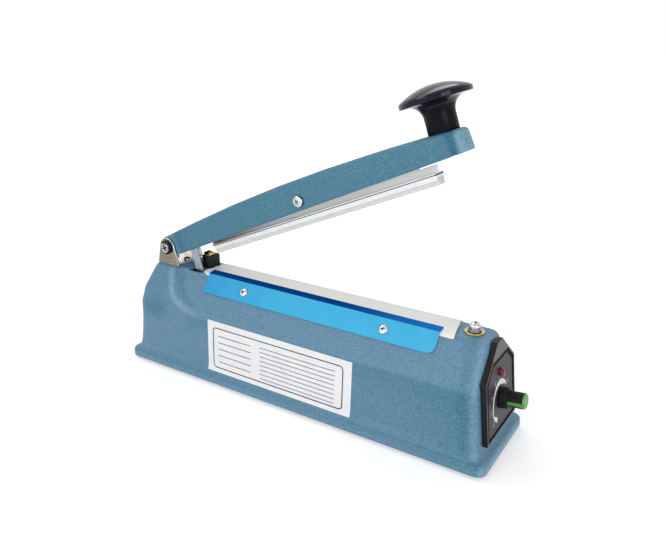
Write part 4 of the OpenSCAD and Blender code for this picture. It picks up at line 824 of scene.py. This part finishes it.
# Non-stick cloth over the bed: one sheet from under the clamp over the top and down the far shoulder
CLOTH_T, CLOTH_LIFT = 0.22, 0.06
NEAR_TUCK, FAR_DROP = 2.5, 8.08
cos_s, sin_s = math.cos(SHOULDER_ANGLE), math.sin(SHOULDER_ANGLE)
bed_z = BODY_H + 1.1
# Its section, in points across and up from the near edge to the far one
fold = [(-TOP_HW - NEAR_TUCK * sin_s, BODY_H - NEAR_TUCK * cos_s),
        (-TOP_HW - 0.5 * sin_s, BODY_H - 0.5 * cos_s), (-TOP_HW + 0.6, BODY_H + 0.1),
        (-8.2, bed_z - 0.32), (-6.8, bed_z - 0.08), (-5.4, bed_z), (-2.4, bed_z), (0, bed_z), (2.4, bed_z),
        (5.4, bed_z), (6.8, bed_z - 0.1), (9, bed_z - 0.55), (11.2, BODY_H + 0.16), (12.4, BODY_H - 0.2),
        (13.5, BODY_H - 0.85), (14.3, BODY_H - 1.8), (TOP_HW + 4.5 * sin_s, BODY_H - 4.5 * cos_s),
        (TOP_HW + FAR_DROP * sin_s, BODY_H - FAR_DROP * cos_s)]
ALONG = 110
CORNER_BACK, CORNER_CUT = 4.2, 3.4
sheet = bmesh.new()
bmesh.ops.create_grid(sheet, x_segments=ALONG, y_segments=len(fold) - 1, size=0.5)
lean = math.tan(math.radians(CLOTH_SLANT))
for v in sheet.verts:
    share = v.co.x + 0.5
    row = round((v.co.y + 0.5) * (len(fold) - 1))
    y, z = fold[row]
    start = CLOTH_X0 - CORNER_BACK * ramp(-y, 4, 10) + CORNER_CUT * max(0, -y - TOP_HW + 0.6)
    x = start + share * (CLOTH_X1 - lean * y - start)
    ripple = 0.07 * math.sin(x * 0.21 + y) * math.sin(x * 0.043) if 5 < y < 11 else 0
    v.co = (x, y, z + CLOTH_T * 0.5 + CLOTH_LIFT + ripple)
cloth_area = sum(f.calc_area() for f in sheet.faces)
bmesh.ops.recalc_face_normals(sheet, faces=sheet.faces)
cloth = raw_object(sheet, "bed_cloth", STAND)
settle(cloth, [("SUBSURF", {"levels": 1, "render_levels": 1}),
               ("SOLIDIFY", {"thickness": CLOTH_T * MM, "offset": 0.0})])
dress(cloth, CLOTH, "housing", ["ptfe_sheet"], crease=50)

# Bare plate on the near wall: white vinyl laid on the paint, with a printed border and blank ruled lines
PLATE_X, PLATE_W = 58.0, 135.2
PLATE_Z, PLATE_H = 9.9, 43.4
PLATE_T, PLATE_LIFT, RULE_LIFT, BORDER_LIFT = 0.14, 0.16, 0.3, 0.34
skin = BVHTree.FromObject(housing, bpy.context.evaluated_depsgraph_get())
inward = (NEAR_WALL.to_3x3() @ Vector((0, 0, -1))).normalized()


def lay_on_wall(bm, lift):
    """Moves points given along and up the near wall onto the paint, some millimetres above it."""
    for v in bm.verts:
        start = NEAR_WALL @ Vector((v.co.x, v.co.y, 12))
        hit = skin.ray_cast(start, inward)[0]
        v.co = hit - inward * (lift + v.co.z) * MM


def ruled(bm, x0, y0, x1, y1, width):
    """A straight printed line between two points of the plate."""
    strip = bmesh.ops.create_grid(bm, x_segments=24, y_segments=1, size=0.5)["verts"]
    bmesh.ops.scale(bm, vec=(math.dist((x0, y0), (x1, y1)), width, 1), verts=strip)
    bmesh.ops.rotate(bm, matrix=Matrix.Rotation(math.atan2(y1 - y0, x1 - x0), 3, "Z"), verts=strip)
    bmesh.ops.translate(bm, vec=((x0 + x1) / 2, (y0 + y1) / 2, 0), verts=strip)


plate = bmesh.new()
bmesh.ops.create_grid(plate, x_segments=54, y_segments=18, size=0.5)
bmesh.ops.scale(plate, vec=(PLATE_W, PLATE_H, 1), verts=plate.verts)
bmesh.ops.translate(plate, vec=(PLATE_X + PLATE_W / 2, PLATE_Z + PLATE_H / 2, 0), verts=plate.verts)
lay_on_wall(plate, PLATE_LIFT)
bmesh.ops.recalc_face_normals(plate, faces=plate.faces)
label = raw_object(plate, "blank_plate")
settle(label, [("SOLIDIFY", {"thickness": PLATE_T * MM, "offset": -1.0})])
dress(label, VINYL, "housing")

BORDER = (PLATE_X + 5.8, PLATE_Z + 3.8, PLATE_X + 128, PLATE_Z + 38)
CORNER, LINE_W = 3.0, 0.7
border = bmesh.new()
x0, y0, x1, y1 = BORDER
for ax, ay, bx, by in ((x0 + CORNER, y0, x1 - CORNER, y0), (x1, y0 + CORNER, x1, y1 - CORNER),
                       (x1 - CORNER, y1, x0 + CORNER, y1), (x0, y1 - CORNER, x0, y0 + CORNER)):
    ruled(border, ax, ay, bx, by, LINE_W)
for cx, cy, start in ((x1 - CORNER, y1 - CORNER, 0), (x0 + CORNER, y1 - CORNER, 90),
                      (x0 + CORNER, y0 + CORNER, 180), (x1 - CORNER, y0 + CORNER, 270)):
    ray = math.radians(start)
    ends = [border.verts.new((cx + r * math.cos(ray), cy + r * math.sin(ray), 0))
            for r in (CORNER - LINE_W / 2, CORNER + LINE_W / 2)]
    bmesh.ops.spin(border, geom=ends + [border.edges.new(ends)], cent=(cx, cy, 0), axis=(0, 0, 1),
                   angle=math.radians(90), steps=10, use_merge=False)
lay_on_wall(border, BORDER_LIFT)
bmesh.ops.recalc_face_normals(border, faces=border.faces)
dress(raw_object(border, "plate_border"), PRINT, "housing")

# Two columns of lines: their count, ends, drop of the first below the border, spacing and width
rules = bmesh.new()
for count, left, right, first, apart, width in ((5, x0 + 5, x0 + 38, 6.5, 5.6, 0.5),
                                                (8, x0 + 47, x1 - 7, 5.5, 3.7, 0.42)):
    for k in range(count):
        height = y1 - first - apart * k
        ruled(rules, left, height, right, height, width)
lay_on_wall(rules, RULE_LIFT)
bmesh.ops.recalc_face_normals(rules, faces=rules.faces)
dress(raw_object(rules, "plate_rules"), PRINT, "housing")

# Dial print on the panel: a broad scale that swells over the knob, thins down the near side and ends in a
# flag
DIAL = PANEL @ at(0, TIMER_H, PANEL_FACE + 0.03)


def dial_point(angle, r):
    """A point of the dial: the angle is from straight up, to the far side, in degrees."""
    return Vector((r * math.sin(math.radians(angle)), r * math.cos(math.radians(angle)), 0))


# Angle, inner and outer radius of the scale's band where its course changes
STATIONS = ((72, 12.2, 12.8), (30, 8.6, 12.6), (-20, 9.8, 13.2), (-60, 10.9, 13.0), (-95, 12.4, 14.2),
            (-112, 14.2, 15.7), (-124, 15.2, 16.4), (-138, 14.2, 17.0), (-155, 13.8, 17.4))


def scale_band(angle):
    """Inner and outer radius of the scale's band at an angle."""
    for (a, *start), (b, *end) in zip(STATIONS, STATIONS[1:]):
        if angle >= b:
            share = ramp(angle, a, b)
            return [p + (q - p) * share for p, q in zip(start, end)]
    return STATIONS[-1][1:]


SWEEP = STATIONS[0][0] - STATIONS[-1][0]
NUMBERS, NUMBER_H, NUMBER_OUT = 9, 3.2, 3.4
FIRST_NUMBER, NUMBER_SWEEP = -138, 276
print_bm = bmesh.new()
first = [print_bm.verts.new(dial_point(STATIONS[0][0], r)) for r in (12, 14)]
bmesh.ops.spin(print_bm, geom=first + [print_bm.edges.new(first)], cent=(0, 0, 0), axis=(0, 0, 1),
               angle=math.radians(SWEEP), steps=96, use_merge=False)
for v in print_bm.verts:
    angle = math.degrees(math.atan2(v.co.x, v.co.y))
    v.co = dial_point(angle, scale_band(angle)[v.co.length > 13])
for k in range(NUMBERS):
    angle = FIRST_NUMBER + k * NUMBER_SWEEP / (NUMBERS - 1)
    edge_r = scale_band(angle)[1]
    marks = [print_bm.verts.new(dial_point(angle + da, edge_r + dr))
             for da, dr in ((-0.9, 0.5), (0.9, 0.5), (0.9, 1.5), (-0.9, 1.5))]
    print_bm.faces.new(marks)
    letter = bpy.data.curves.new("number", "FONT")
    letter.body = str(k)
    letter.size = NUMBER_H
    letter.align_x = letter.align_y = "CENTER"
    shown = bpy.data.objects.new("number", letter)
    bpy.context.scene.collection.objects.link(shown)
    bpy.context.view_layer.update()
    seen = shown.evaluated_get(bpy.context.evaluated_depsgraph_get())
    before = set(print_bm.verts)
    print_bm.from_mesh(bpy.data.meshes.new_from_object(seen))
    bmesh.ops.translate(print_bm, vec=dial_point(angle, edge_r + NUMBER_OUT),
                        verts=[v for v in print_bm.verts if v not in before])
    bpy.data.objects.remove(shown)
bmesh.ops.recalc_face_normals(print_bm, faces=print_bm.faces)
dress(raw_object(print_bm, "dial_print", DIAL), INK, "housing")


# Stage, camera and light

def light_path_mix(tree, low, high, out):
    """Shows the second shader to the eye, to gloss and through glass, and the first to the light that falls
    about."""
    rays = add(tree, "ShaderNodeLightPath", {}, {}).outputs
    either = reckon(tree, "MAXIMUM", rays["Is Camera Ray"], rays["Is Glossy Ray"])
    seen = reckon(tree, "MAXIMUM", either, rays["Is Transmission Ray"])
    mixed = add(tree, "ShaderNodeMixShader", {}, {0: seen, 1: low, 2: high}).outputs[0]
    tree.links.new(mixed, out)


# Strength of the sky's light, of its look, and of the floor's glow near the object and far from it
SKY_LIGHT, SKY_LOOK, GLOW_NEAR, GLOW_FAR = 0.54, 1.0, 0.36, 0.66
WHITE = (1, 1, 1, 1)
world = bpy.data.worlds.new("studio")
bpy.context.scene.world = world
world.use_nodes = True
tree = world.node_tree
tree.nodes.remove(tree.nodes["Background"])
soft = add(tree, "ShaderNodeBackground", {}, {"Color": WHITE, "Strength": SKY_LIGHT}).outputs[0]
white = add(tree, "ShaderNodeBackground", {}, {"Color": WHITE, "Strength": SKY_LOOK}).outputs[0]
light_path_mix(tree, soft, white, tree.nodes["World Output"].inputs["Surface"])

paper = bpy.data.materials.new("white_paper_floor")
paper.use_nodes = True
tree = paper.node_tree
tree.nodes.remove(tree.nodes["Principled BSDF"])
matt = add(tree, "ShaderNodeBsdfDiffuse", {}, {"Color": (0.85, 0.85, 0.85, 1)}).outputs[0]
spot = add(tree, "ShaderNodeTexCoord", {}, {}).outputs["Object"]
reach = add(tree, "ShaderNodeVectorMath", {"operation": "LENGTH"}, {0: spot}).outputs["Value"]
lift = span(tree, reach, 0.3, 1.6, GLOW_NEAR, GLOW_FAR, "SMOOTHSTEP")
glow = add(tree, "ShaderNodeEmission", {}, {"Color": WHITE, "Strength": lift}).outputs[0]
lifted = add(tree, "ShaderNodeAddShader", {}, {0: matt, 1: glow}).outputs[0]
light_path_mix(tree, matt, lifted, tree.nodes["Material Output"].inputs["Surface"])
ground = bmesh.new()
bmesh.ops.create_grid(ground, x_segments=1, y_segments=1, size=6)
floor = raw_object(ground, "floor")
floor.data.materials.append(paper)


def lamp(name, place, aim, size, power, height=None):
    """A soft lamp that faces a point, square unless its height is given."""
    data = bpy.data.lights.new(name, "AREA")
    data.shape = "RECTANGLE"
    data.size = size
    data.size_y = height or size
    data.energy = power
    obj = bpy.data.objects.new(name, data)
    obj.location = place
    obj.rotation_euler = (Vector(aim) - Vector(place)).to_track_quat("-Z", "Y").to_euler()
    bpy.context.scene.collection.objects.link(obj)


lamp("key_softbox", (-0.4, -1.6, 0.75), (0, 0, 0.06), 0.9, 8)
lamp("front_softbox", (1.4, -0.9, 0.6), (0, 0, 0.08), 0.8, 10)
lamp("back_softbox", (-0.65, 0.25, 1.15), (0.1, 0, 0.2), 2.2, 6, 0.28)

# Camera at the photograph's angle: millimetres, degrees, and a focal length in pixels of its frame's width
CAMERA_AT = (267.88, -394.07, 282.93)
AZIMUTH, ELEVATION = 32.47, 21.353
FOCAL_PX, FRAME_W = 673.765, 666
eye = bpy.data.cameras.new("view")
eye.sensor_width = 36
eye.lens = FOCAL_PX / FRAME_W * eye.sensor_width
eye.clip_start, eye.clip_end = 0.01, 50
camera = bpy.data.objects.new("view", eye)
camera.location = Vector(CAMERA_AT) * MM
camera.rotation_euler = (math.radians(90 - ELEVATION), 0, math.radians(AZIMUTH))
bpy.context.scene.collection.objects.link(camera)
bpy.context.scene.camera = camera
bpy.context.scene.view_settings.view_transform = "Standard"
